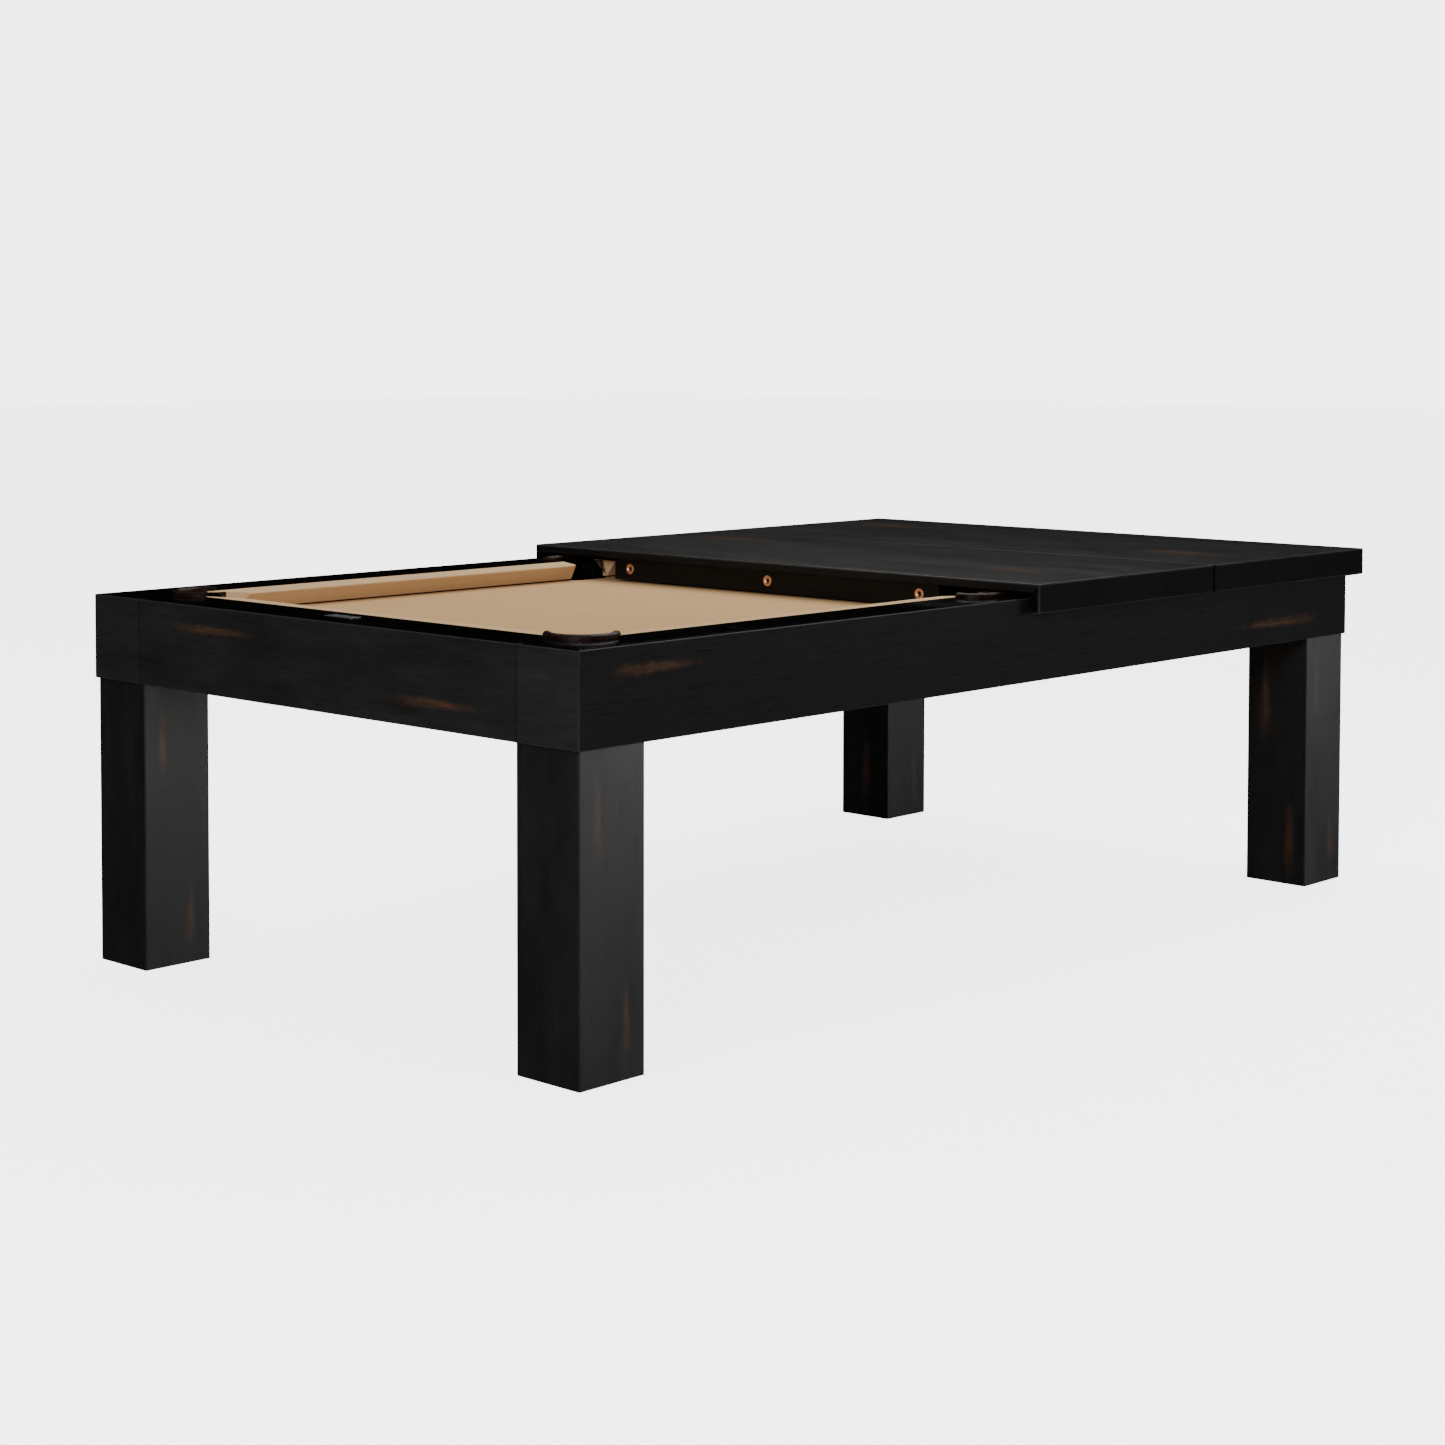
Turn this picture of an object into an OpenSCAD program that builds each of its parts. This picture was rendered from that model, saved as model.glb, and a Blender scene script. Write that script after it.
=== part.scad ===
// Slate-bed pocket table that turns into a dining table.
// Two of its four lift-off dining leaves lie on the right half.
// Millimetres. The origin is on the floor under the middle of the whole outline.
// X runs along the table, Y across it, Z up. "Left" is -X and "front" is -Y.

/* [Cabinet] */
// Length over the end faces
cab_l = 2600; // [2300:10:3200]
// Width over the side faces
cab_w = 1482; // [1200:2:1900]
// Height of the rail tops above the floor
rail_top = 782; // [700:1:940]
// Depth of the cabinet, from the rail tops down
cab_d = 178; // [165:1:220]
// Thickness of the aprons and the corner returns
apron_t = 19; // [14:0.5:26]
// Width of a corner return, seen on the end face
return_w = 160.5; // [130:0.5:200]

/* [Legs] */
// Side of a square leg
leg_w = 163; // [130:0.1:200]
// How far a leg stands in from the cabinet's faces
leg_inset = 6; // [0:0.5:12]
// Wall of the hollow leg
leg_wall = 22; // [15:1:28]
// Rounding of the leg's upright edges
leg_round = 3; // [1:0.5:8]
// Height of the solid block glued into each end of a leg
leg_block_h = 60; // [40:1:90]
// Spacing of a leg's four bolts
leg_bolt_gap = 60; // [40:1:70]
// Height of the nylon glide under a leg
glide_h = 1.5; // [1:0.5:4]
// Radius of a glide
glide_r = 12; // [8:1:16]

/* [Slate bed] */
// Thickness of the slate
slate_t = 25.4; // [19:0.2:32]
// Distance from the cabinet's face to the slate's edge
slate_edge = 85; // [78:1:95]
// Thickness of the bed cloth
cloth_t = 1; // [0.8:0.1:1.6]
// Thickness of the corner plates that the legs bolt to
plate_t = 19; // [15:1:24]
// Distance from the cabinet's face to the frame beams
beam_in = 226; // [224:1:290]
// Thickness of a frame beam
beam_t = 38; // [28:1:50]
// Width of the cross beams under the slate's seams
cross_beam_w = 90; // [60:1:120]

/* [Rails and cushions] */
// Width of the bare wood of a rail, from the cabinet's face to the cloth
wood_w = 125; // [112:1:135]
// Width of the whole rail, which runs on under the cushion
rail_w = 150; // [145:1:160]
// Distance from the cloth line to the cushion's nose
cushion_w = 57.4; // [48:0.1:70]
// Height of the rail tops above the bed cloth
rail_h = 43.5; // [38:0.1:53]
// Height of the cushion's nose above the bed cloth
nose_h = 36.5; // [32:0.5:42]
// Drop of the cushion's top from the cloth line to the nose
cushion_drop = 3; // [1:0.5:4]
// Thickness of the cushion where it lies on the rail
cushion_lip = 3; // [2:0.5:5]
// Gap between the cushion's foot and the bed cloth
cushion_gap = 3.5; // [2:0.5:6]
// Length of a diamond sight, across the rail
sight_l = 24; // [16:1:30]
// Width of a diamond sight, along the rail
sight_w = 11; // [8:1:14]
// Thickness of a sight
sight_t = 3; // [2:0.5:5]
// Distance from the cabinet's face to the middle of the sights
sight_in = 62; // [50:1:66]
// Length of the blank plate on the left end rail
tag_l = 80; // [50:1:100]
// Width of the blank plate
tag_w = 31; // [20:1:40]
// Thickness of the blank plate
tag_t = 1.2; // [0.8:0.1:2]

/* [Pockets] */
// Distance of a corner pocket's centre from both faces
corner_in = 165; // [160:1:170]
// Outer radius of a corner pocket's leather trim
corner_r = 73; // [66:0.1:88]
// Distance of a side pocket's centre from the side face
side_in = 107; // [104:1:116]
// Outer radius of the round ends of a side pocket's trim
side_r = 49; // [44:1:54]
// Distance between the centres of those round ends
side_gap = 84; // [70:1:100]
// Thickness of the leather roll of a trim
trim_t = 20; // [14:1:22]
// Mouth of a corner pocket, from nose to nose
corner_mouth = 124; // [114:1:132]
// Mouth of a side pocket, from nose to nose
side_mouth = 130; // [120:1:140]
// Angle between the nose line and a corner pocket's facing
corner_facing = 142; // [138:0.5:146]
// Angle between the nose line and a side pocket's facing
side_facing = 104; // [100:0.5:108]
// Wall of the pocket liners
liner_t = 3; // [2:0.5:4]
// Radius of the corner liners
corner_liner_r = 55.7; // [50:0.1:58]
// Radius of the side liners' round ends
side_liner_r = 48.5; // [44:0.1:50]
// Distance between the centres of those round ends
side_liner_gap = 48; // [40:1:56]

/* [Dining leaves] */
// How far the dining top stands out past the cabinet
leaf_over = 30; // [24:0.5:40]
// Height of the spacer pads between the rails and the leaves
pad_h = 12; // [11.5:0.5:20]
// Thickness of a leaf's panel
panel_t = 19; // [15:0.5:25]
// Depth of a leaf's skirt, measured from the dining surface
skirt_d = 63.5; // [50:0.5:80]
// Thickness of a skirt
skirt_t = 18; // [12:0.5:22]
// Gap between two leaves that are pushed together
leaf_gap = 0.6; // [0.4:0.1:2]
// Depth of the cross boards under a leaf
board_d = 50; // [42:0.5:51]
// Thickness of a cross board
board_t = 25; // [18:1:32]
// How far a cross board stands in from the leaf's edge
board_in = 6; // [3:0.5:12]
// How far a cross board's ends stay inside the cushion noses
board_clear = 61.6; // [20:0.1:160]
// Radius of the locating pins
pin_r = 4; // [3:0.5:6]
// How far a pin reaches into its socket
pin_reach = 15; // [10:1:20]
// Distance of the pins below the underside of the panel
pin_drop = 23; // [20:0.5:30]
// Distance of the outer pins from a board's ends
pin_edge = 52; // [20:1:150]
// Radius of a socket's flange
flange_r = 12.7; // [10:0.1:16]
// Length of a spacer pad
pad_l = 80; // [50:5:120]
// Width of a spacer pad
pad_w = 24; // [16:1:28]
// Distance from the cabinet's face to a spacer pad
pad_in = 26; // [20:1:30]

/* [Hidden] */
$fn = 64;
// Clearances
fit_gap = 0.3;        // round pieces that stand in a cut-out
pin_clear = 0.15;     // round a pin in its socket
thread_clear = 0.05;  // round a bolt in its threaded hole
bolt_clear = 0.6;     // round a bolt in a plain hole
rest_gap = 0.2;       // under a leaf's pads
cut = 1;              // how far a cutting solid runs past a face

// Levels
cab_bot = rail_top - cab_d;
bed_z = rail_top - rail_h;
slate_top = bed_z - cloth_t;
slate_bot = slate_top - slate_t;
plate_top = cab_bot + plate_t;
beam_h = slate_bot - plate_top;
panel_z = rail_top + pad_h;
dining_z = panel_z + panel_t;
skirt_z = dining_z - skirt_d;
pin_z = panel_z - pin_drop;

// Plan sizes, measured inwards from the cabinet's faces
nose_in = wood_w + cushion_w;
play_l = cab_l - 2 * nose_in;
play_w = cab_w - 2 * nose_in;
half_l = cab_l / 2;
half_w = cab_w / 2;
slate_l = (cab_l - 2 * slate_edge) / 3;
beam_mid = beam_in + beam_t / 2;
inner_w = cab_w - 2 * (beam_in + beam_t);
corner_cut_r = corner_liner_r + fit_gap;
trim_end = wood_w - fit_gap;
side_liner_in = side_in - side_r + trim_t - liner_t + side_liner_r;

// Leaves: four equal ones make the whole top
leaf_l = (cab_l + 2 * leaf_over) / 4;
top_y = half_w + leaf_over;
end_x = half_l + leaf_over;
board_z = panel_z - board_d;
sleeve_r = pin_r + 3;
sleeve_l = pin_reach + 3;
flange_t = 1.5;
pin_root = board_t - 5;
board_l = play_w - 2 * board_clear;
pin_gap = board_l / 2 - pin_edge;

// Fasteners
bolt_r = 5;
head_r = 9;
head_t = 6.4;
washer_r = 11;
washer_t = 2;
bolt_bite = 28;
rail_bolt_in = slate_edge + 30;
screw_r = 3;
screw_l = 60;
screw_head_r = 6;
screw_head_t = 3.5;
screw_inset = 24;
liner_bot = plate_top + washer_t + head_t + 3;

// Corners and sides: name, which way along X, which way along Y
CORNERS = [
  ["front_left", -1, -1],
  ["front_right", 1, -1],
  ["back_left", -1, 1],
  ["back_right", 1, 1]
];
SIDES = [["front", -1], ["back", 1]];
ENDS = [["left", -1], ["right", 1]];

// ---------- placing ----------

// Everything below is drawn about the middle of the cabinet, then put in place here.
module placed() {
  translate([-leaf_over / 2, 0, 0]) children();
}

// x and y count inwards from the two faces that meet at corner c.
module at_corner(c) {
  translate([c[1] * half_l, c[2] * half_w, 0])
    mirror([c[1] > 0 ? 1 : 0, 0, 0])
      mirror([0, c[2] > 0 ? 1 : 0, 0])
        children();
}

// x is the table's own, y counts inwards from the side face.
module at_side(s) {
  translate([0, s * half_w, 0]) mirror([0, s > 0 ? 1 : 0, 0]) children();
}

// x counts inwards from the end face, y is the table's own.
module at_end(s) {
  translate([s * half_l, 0, 0]) mirror([s > 0 ? 1 : 0, 0, 0]) children();
}

module all_corners() {
  for (c = CORNERS) at_corner(c) children();
}

// A flat shape drawn in plan and raised from z0 to z1.
module slab(z0, z1) {
  translate([0, 0, z0]) linear_extrude(z1 - z0) children();
}

// A section drawn with its own x as the table's Y and its y as Z, run along X.
module along_x(x0, x1) {
  translate([x0, 0, 0]) rotate([90, 0, 90]) linear_extrude(x1 - x0) children();
}

// A section drawn with its own x as the table's X and its y as Z, run along Y.
module along_y(y0, y1) {
  translate([0, y1, 0]) rotate([90, 0, 0]) linear_extrude(y1 - y0) children();
}

// A cylinder along X from x0 to x1.
module rod_x(r, x0, x1) {
  translate([x0, 0, 0]) rotate([0, 90, 0]) cylinder(r = r, h = x1 - x0);
}

// Rectangle from corner to corner.
module rect(x0, y0, x1, y1) {
  translate([x0, y0]) square([x1 - x0, y1 - y0]);
}

module rounded_square(w, r) {
  rect(r, 0, w - r, w);
  rect(0, r, w, w - r);
  for (x = [r, w - r], y = [r, w - r]) translate([x, y]) circle(r);
}

// A slot with round ends, centred on the origin, along x.
module slot(r, gap) {
  translate([-gap / 2, 0]) circle(r);
  translate([gap / 2, 0]) circle(r);
  rect(-gap / 2, -r, gap / 2, r);
}

// ---------- legs ----------

module leg_shape() {
  difference() {
    slab(glide_h, cab_bot)
      translate([leg_inset, leg_inset]) rounded_square(leg_w, leg_round);
    slab(glide_h - cut, cab_bot + cut)
      translate([leg_inset + leg_wall, leg_inset + leg_wall]) square(leg_w - 2 * leg_wall);
  }
}

module leg(c) {
  color("#1c1b1a") placed() at_corner(c) leg_shape();
}

// Four points round the leg's axis.
module leg_bolt_points() {
  mid = leg_inset + leg_w / 2;
  for (x = [-1, 1], y = [-1, 1])
    translate([mid + x * leg_bolt_gap / 2, mid + y * leg_bolt_gap / 2, 0]) children();
}

module leg_blocks() {
  side = leg_w - 2 * leg_wall;
  low = leg_inset + leg_wall;
  color("#b08d5b") placed() all_corners() {
    difference() {
      translate([low, low, cab_bot - leg_block_h]) cube([side, side, leg_block_h]);
      leg_bolt_points()
        translate([0, 0, cab_bot - bolt_bite - cut])
          cylinder(r = bolt_r + thread_clear, h = bolt_bite + 2 * cut);
    }
    translate([low, low, glide_h]) cube([side, side, leg_block_h]);
  }
}

module leg_glides() {
  color("#d8d6d0") placed() all_corners() leg_bolt_points() cylinder(r = glide_r, h = glide_h);
}

// A bolt that stands on its head at z = 0, pointing up, with its washer.
module bolt(length) {
  translate([0, 0, -washer_t - head_t]) cylinder(r = head_r, h = head_t, $fn = 6);
  translate([0, 0, -washer_t]) cylinder(r = washer_r, h = washer_t);
  cylinder(r = bolt_r, h = length);
}

module leg_bolts() {
  color("#9a9da0") placed() all_corners() leg_bolt_points()
    translate([0, 0, plate_top]) rotate([180, 0, 0]) bolt(plate_t + bolt_bite);
}

module corner_plates() {
  far = beam_in + beam_t;
  color("#b08d5b") placed() all_corners() difference() {
    slab(cab_bot, plate_top) rect(apron_t, apron_t, far, far);
    leg_bolt_points()
      translate([0, 0, cab_bot - cut]) cylinder(r = bolt_r + bolt_clear, h = plate_t + 2 * cut);
  }
}

// ---------- cabinet ----------

module side_apron(s) {
  color("#1c1b1a") placed() at_side(s) slab(cab_bot, rail_top)
    polygon([
      [-half_l, 0], [half_l, 0],
      [half_l - apron_t, apron_t], [-half_l + apron_t, apron_t]
    ]);
}

module corner_return(c) {
  color("#1c1b1a") placed() at_corner(c) slab(cab_bot, rail_top)
    polygon([[0, 0], [apron_t, apron_t], [apron_t, return_w], [0, return_w]]);
}

module end_apron(s) {
  reach = half_w - return_w;
  color("#1c1b1a") placed() at_end(s) slab(cab_bot, rail_top) rect(0, -reach, apron_t, reach);
}

module beam(x0, y0, x1, y1) {
  slab(plate_top, slate_bot) rect(x0, y0, x1, y1);
}

// Where the slate screws go: near both ends of each slate, over the side beams.
module slate_screw_points() {
  for (i = [-1, 0, 1], e = [-1, 1], s = [-1, 1])
    translate([i * slate_l + e * (slate_l / 2 - screw_inset), s * (half_w - beam_mid), slate_top])
      children();
}

module slate_screw_hole() {
  translate([0, 0, -screw_l - cut]) cylinder(r = screw_r + thread_clear, h = screw_l + 2 * cut);
}

module side_beams() {
  reach = half_l - apron_t;
  color("#b08d5b") placed() difference() {
    for (s = [-1, 1]) at_side(s) beam(-reach, beam_in, reach, beam_in + beam_t);
    slate_screw_points() slate_screw_hole();
  }
}

// Two beams at the ends and one under each seam of the slate.
module cross_beams() {
  color("#b08d5b") placed() for (s = [-1, 1]) {
    at_end(s) beam(beam_in, -inner_w / 2, beam_in + beam_t, inner_w / 2);
    translate([s * slate_l / 2, 0, 0])
      beam(-cross_beam_w / 2, -inner_w / 2, cross_beam_w / 2, inner_w / 2);
  }
}

module centre_beams() {
  seam = slate_l / 2;
  end = half_l - beam_in - beam_t;
  near = seam - cross_beam_w / 2;
  far = seam + cross_beam_w / 2;
  color("#b08d5b") placed() {
    beam(-near, -beam_t / 2, near, beam_t / 2);
    for (s = [0, 1]) mirror([s, 0, 0]) beam(far, -beam_t / 2, end, beam_t / 2);
  }
}

// ---------- slate bed ----------

// What the pockets take out of the slate and the bed cloth.
module pocket_cuts() {
  all_corners() {
    translate([corner_in, corner_in]) circle(corner_cut_r);
    rect(-cut, -cut, corner_in, corner_in + corner_cut_r);
    rect(-cut, -cut, corner_in + corner_cut_r, corner_in);
  }
  for (s = [-1, 1]) at_side(s) {
    reach = side_liner_gap / 2 + side_liner_r + fit_gap;
    translate([0, side_liner_in]) slot(side_liner_r + fit_gap, side_liner_gap);
    rect(-reach, -cut, reach, side_liner_in);
  }
}

// Three bolts a rail, in the middle and near its ends.
function side_bolt_xs() = [
  half_l - (side_gap / 2 + side_r + 60),
  (half_l + corner_in + corner_r - side_gap / 2 - side_r) / 2,
  corner_in + corner_r + 60
];
end_bolt_y = half_w - corner_in - corner_r - 60;

module rail_bolt_points() {
  all_corners() for (x = side_bolt_xs()) translate([x, rail_bolt_in]) children();
  for (e = [-1, 1]) at_end(e)
    for (y = [-end_bolt_y, 0, end_bolt_y]) translate([rail_bolt_in, y]) children();
}

module bed_plan(x0, x1) {
  reach = half_w - slate_edge;
  difference() {
    rect(x0, -reach, x1, reach);
    pocket_cuts();
    rail_bolt_points() circle(bolt_r + 1.5);
  }
}

module slate(i) {
  x0 = (i - 0.5) * slate_l;
  color("#565b5e") placed() difference() {
    slab(slate_bot, slate_top) bed_plan(x0, x0 + slate_l);
    slate_screw_points() {
      slate_screw_hole();
      screw_head(thread_clear, cut);
    }
  }
}

// A countersunk head that ends flush at z = 0, grown by g and run up past it by h.
module screw_head(g, h) {
  translate([0, 0, -screw_head_t]) cylinder(r1 = screw_r + g, r2 = screw_head_r + g, h = screw_head_t);
  if (h > 0) cylinder(r = screw_head_r + g, h = h);
}

module slate_screws() {
  color("#9a9da0") placed() slate_screw_points() {
    translate([0, 0, -screw_l]) cylinder(r = screw_r, h = screw_l - screw_head_t);
    screw_head(0, 0);
  }
}

module bed_cloth() {
  color("#d9c39f") placed() slab(slate_top, bed_z)
    bed_plan(-half_l + slate_edge, half_l - slate_edge);
}

// ---------- pockets ----------

// The mouth between the two facings of a corner pocket, in corner coordinates. The
// facings run back to the wood, where the trim takes over.
module corner_mouth_plan() {
  tip = nose_in + corner_mouth / sqrt(2);
  back = tip + (nose_in - wood_w) / tan(corner_facing);
  polygon([
    [tip, nose_in], [back, wood_w], [wood_w, wood_w], [wood_w, back], [nose_in, tip],
    [nose_in, cab_w / 2], [cab_w / 2, cab_w / 2], [cab_w / 2, nose_in]
  ]);
}

// The mouth between the two facings of a side pocket, in side coordinates.
module side_mouth_plan() {
  tip = side_mouth / 2;
  back = tip + (nose_in - wood_w) / tan(side_facing);
  polygon([
    [-tip, nose_in], [-back, wood_w], [back, wood_w], [tip, nose_in],
    [tip, half_w], [-tip, half_w]
  ]);
}

// Section of a trim: a leather roll on top of a skirt that hangs to the bed. The
// skirt reaches in as far as the liner below it.
module trim_section(skirt_in) {
  translate([0, rail_top]) circle(trim_t / 2);
  rect(min(-trim_t / 2, skirt_in), bed_z, trim_t / 2, rail_top);
}

module corner_trim(c) {
  mid = corner_r - trim_t / 2;
  color("#3a2820") placed() at_corner(c) difference() {
    translate([corner_in, corner_in, 0])
      rotate_extrude() translate([mid, 0])
        trim_section(corner_liner_r - liner_t + fit_gap - mid);
    slab(bed_z - cut, rail_top + trim_t)
      rect(trim_end, trim_end, half_w, half_w);
  }
}

module side_trim(s) {
  mid = side_r - trim_t / 2;
  color("#3a2820") placed() at_side(s) difference() {
    union() {
      for (e = [-1, 1]) intersection() {
        translate([e * side_gap / 2, side_in, 0])
          rotate_extrude() translate([mid, 0]) trim_section(-trim_t / 2);
        slab(0, dining_z) mirror([e > 0 ? 0 : 1, 0]) rect(side_gap / 2, 0, half_l, half_w);
      }
      along_x(-side_gap / 2, side_gap / 2) translate([side_in - mid, 0]) trim_section(-trim_t / 2);
      for (e = [-1, 1]) intersection() {
        slab(0, dining_z) rect(-side_gap / 2, side_in, side_gap / 2, half_w);
        along_x(-side_gap / 2, side_gap / 2) translate([side_in + mid, 0]) trim_section(-trim_t / 2);
      }
    }
    slab(bed_z - cut, rail_top + trim_t) rect(-half_l / 2, trim_end, half_l / 2, half_w);
  }
}

// The two corner pockets on side s.
module corner_liners(s) {
  color("#2a1e19") placed() for (c = CORNERS) if (c[2] == s)
    at_corner(c) translate([corner_in, corner_in, 0]) difference() {
      translate([0, 0, liner_bot]) cylinder(r = corner_liner_r, h = bed_z - liner_bot);
      translate([0, 0, liner_bot + liner_t])
        cylinder(r = corner_liner_r - liner_t, h = bed_z - liner_bot);
    }
}

module side_pocket_liners() {
  color("#2a1e19") placed() for (s = [-1, 1]) at_side(s) translate([0, side_liner_in, 0])
    difference() {
      slab(liner_bot, bed_z) slot(side_liner_r, side_liner_gap);
      slab(liner_bot + liner_t, bed_z + cut) slot(side_liner_r - liner_t, side_liner_gap);
    }
}

// The room that the trims need in the wood of the rails, and beyond it the mouths.
module corner_hole_plan() {
  difference() {
    translate([corner_in, corner_in]) circle(corner_r + fit_gap);
    rect(wood_w, wood_w, half_w, half_w);
  }
}

module side_hole_plan() {
  difference() {
    translate([0, side_in]) slot(side_r + fit_gap, side_gap);
    rect(-half_l / 2, wood_w, half_l / 2, half_w);
  }
}

// ---------- rails ----------

// A rail's cross-section, as distance from the cabinet's face against height.
module rail_section() {
  ledge = rail_top - cushion_lip;
  rect(apron_t, bed_z, wood_w, rail_top);
  rect(apron_t, bed_z, rail_w, ledge);
}

module sight_plan() {
  polygon([[-sight_l / 2, 0], [0, -sight_w / 2], [sight_l / 2, 0], [0, sight_w / 2]]);
}

// The sights divide the playing field into eighths along and quarters across.
module side_sights() {
  for (i = [1, 2, 3])
    translate([half_l - i * play_l / 8, sight_in]) rotate(90) children();
}

// The blank plate takes the middle sight's place on the left end rail.
function end_sight_steps(s) = s < 0 ? [-1, 1] : [-1, 0, 1];

module end_sights(s) {
  for (i = end_sight_steps(s)) translate([sight_in, i * play_w / 4]) children();
}

module side_rail(c) {
  color("#141312") placed() at_corner(c) difference() {
    intersection() {
      along_x(0, half_l) rail_section();
      slab(0, dining_z) polygon([[0, 0], [half_l, 0], [half_l, half_l], [half_w, half_w]]);
    }
    slab(bed_z - cut, rail_top + cut) {
      corner_hole_plan();
      corner_mouth_plan_side();
      translate([half_l, 0]) {
        side_hole_plan();
        side_mouth_plan();
      }
    }
    slab(rail_top - sight_t, rail_top + cut) side_sights() offset_sight();
    for (x = side_bolt_xs()) translate([x, rail_bolt_in, 0]) rail_bolt_hole();
  }
}

module end_rail(s) {
  color("#141312") placed() at_end(s) difference() {
    intersection() {
      along_y(-half_w, half_w) rail_section();
      slab(0, dining_z) polygon([[0, -half_w], [half_w, 0], [0, half_w]]);
    }
    slab(bed_z - cut, rail_top + cut) for (m = [0, 1]) mirror([0, m])
      translate([0, -half_w]) {
        corner_hole_plan();
        corner_mouth_plan_side();
      }
    slab(rail_top - sight_t, rail_top + cut) end_sights(s) offset_sight();
    for (y = [-end_bolt_y, 0, end_bolt_y]) translate([rail_bolt_in, y, 0]) rail_bolt_hole();
  }
}

// The pocket that a sight is let into.
module offset_sight() {
  k = 1 + 2 * thread_clear / sight_w;
  scale([k, k]) sight_plan();
}

module rail_bolt_hole() {
  translate([0, 0, bed_z - cut]) cylinder(r = bolt_r + thread_clear, h = bolt_bite + 2 * cut);
}

module rail_bolts() {
  color("#9a9da0") placed() rail_bolt_points()
    translate([0, 0, slate_bot]) bolt(bed_z - slate_bot + bolt_bite);
}

module rail_sights() {
  color("#0c0b0b") placed() slab(rail_top - sight_t, rail_top) {
    all_corners() side_sights() sight_plan();
    for (s = [-1, 1]) at_end(s) end_sights(s) sight_plan();
  }
}

module blank_plate() {
  color("#8e8f90") placed() at_end(-1) slab(rail_top, rail_top + tag_t)
    rect(sight_in + 10 - tag_w / 2, -tag_l / 2, sight_in + 10 + tag_w / 2, tag_l / 2);
}

// ---------- cushions ----------

// A cushion's cross-section: a lip on the rail, a sloped top, the nose and a foot
// that falls back under it.
module cushion_section() {
  top = rail_top - cushion_drop;
  foot = bed_z + cushion_gap;
  nose_z = bed_z + nose_h;
  polygon([
    [wood_w, rail_top], [nose_in - 5, top], [nose_in - 1.5, (top + nose_z) / 2 + 1],
    [nose_in, nose_z], [nose_in - 22, foot], [rail_w, foot],
    [rail_w, rail_top - cushion_lip], [wood_w, rail_top - cushion_lip]
  ]);
}

module side_cushion(c) {
  color("#d9c39f") placed() at_corner(c) difference() {
    intersection() {
      along_x(0, half_l) cushion_section();
      slab(0, dining_z) polygon([[0, 0], [half_l, 0], [half_l, half_l], [half_w, half_w]]);
    }
    slab(bed_z, rail_top + cut) {
      corner_mouth_plan_side();
      translate([half_l, 0]) side_mouth_plan();
    }
  }
}

// Only the pocket's own share of the mouth, so that it leaves the rest of the cushion.
module corner_mouth_plan_side() {
  intersection() {
    corner_mouth_plan();
    rect(0, 0, nose_in + corner_mouth, nose_in + corner_mouth);
  }
}

module end_cushion(s) {
  color("#d9c39f") placed() at_end(s) difference() {
    intersection() {
      along_y(-half_w, half_w) cushion_section();
      slab(0, dining_z) polygon([[0, -half_w], [half_w, 0], [0, half_w]]);
    }
    slab(bed_z, rail_top + cut) for (m = [0, 1]) mirror([0, m])
      translate([0, -half_w]) corner_mouth_plan_side();
  }
}

// ---------- dining leaves ----------

middle_x0 = 0;
middle_x1 = leaf_l - leaf_gap / 2;
end_x0 = leaf_l + leaf_gap / 2;
skirt_y = top_y - skirt_t;
skirt_x = end_x - skirt_t;

// Panel and skirts meet in a mitre that runs from the outer edge to the inner corner.
module panel_section() {
  polygon([[-skirt_y, panel_z], [skirt_y, panel_z], [top_y, dining_z], [-top_y, dining_z]]);
}

module skirt_section(inner, outer) {
  polygon([[inner, skirt_z], [outer, skirt_z], [outer, dining_z], [inner, panel_z]]);
}

module middle_leaf_panel() {
  color("#1c1b1a") placed() along_x(middle_x0, middle_x1) panel_section();
}

module middle_leaf_skirts() {
  color("#1c1b1a") placed() for (m = [0, 1]) mirror([0, m, 0])
    along_x(middle_x0, middle_x1) skirt_section(skirt_y, top_y);
}

module end_leaf_panel() {
  color("#1c1b1a") placed() intersection() {
    along_x(end_x0, end_x) panel_section();
    along_y(-top_y, top_y) polygon([
      [end_x0, panel_z], [skirt_x, panel_z], [end_x, dining_z], [end_x0, dining_z]
    ]);
  }
}

module end_leaf_side_skirts() {
  color("#1c1b1a") placed() for (m = [0, 1]) mirror([0, m, 0]) intersection() {
    along_x(end_x0, end_x) skirt_section(skirt_y, top_y);
    slab(0, dining_z) polygon([
      [end_x0, skirt_y], [skirt_x, skirt_y], [end_x, top_y], [end_x0, top_y]
    ]);
  }
}

module end_leaf_end_skirt() {
  color("#1c1b1a") placed() intersection() {
    along_y(-top_y, top_y) skirt_section(skirt_x, end_x);
    slab(0, dining_z) polygon([
      [skirt_x, -skirt_y], [end_x, -top_y], [end_x, top_y], [skirt_x, skirt_y]
    ]);
  }
}

// The three pin positions across a leaf.
module pin_points() {
  for (y = [-pin_gap, 0, pin_gap]) translate([0, y, pin_z]) children();
}

// A cross board whose left face is at x, with holes of radius r.
module board(x, r) {
  difference() {
    translate([x, -board_l / 2, board_z]) cube([board_t, board_l, board_d]);
    pin_points() rod_x(r, x - cut, x + board_t + cut);
  }
}

// A flanged socket let into the left face of the board at x.
module socket(x) {
  difference() {
    union() {
      rod_x(flange_r, x - flange_t, x);
      rod_x(sleeve_r, x, x + sleeve_l);
    }
    rod_x(pin_r + pin_clear, x - flange_t - cut, x + sleeve_l + cut);
  }
}

right_board_x = middle_x1 - board_in - board_t;

module middle_leaf_boards() {
  color("#161514") placed() {
    board(middle_x0 + board_in, sleeve_r + thread_clear);
    board(right_board_x, pin_r + thread_clear);
  }
}

module middle_leaf_sockets() {
  color("#b07b4f") placed() pin_points() socket(middle_x0 + board_in);
}

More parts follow.
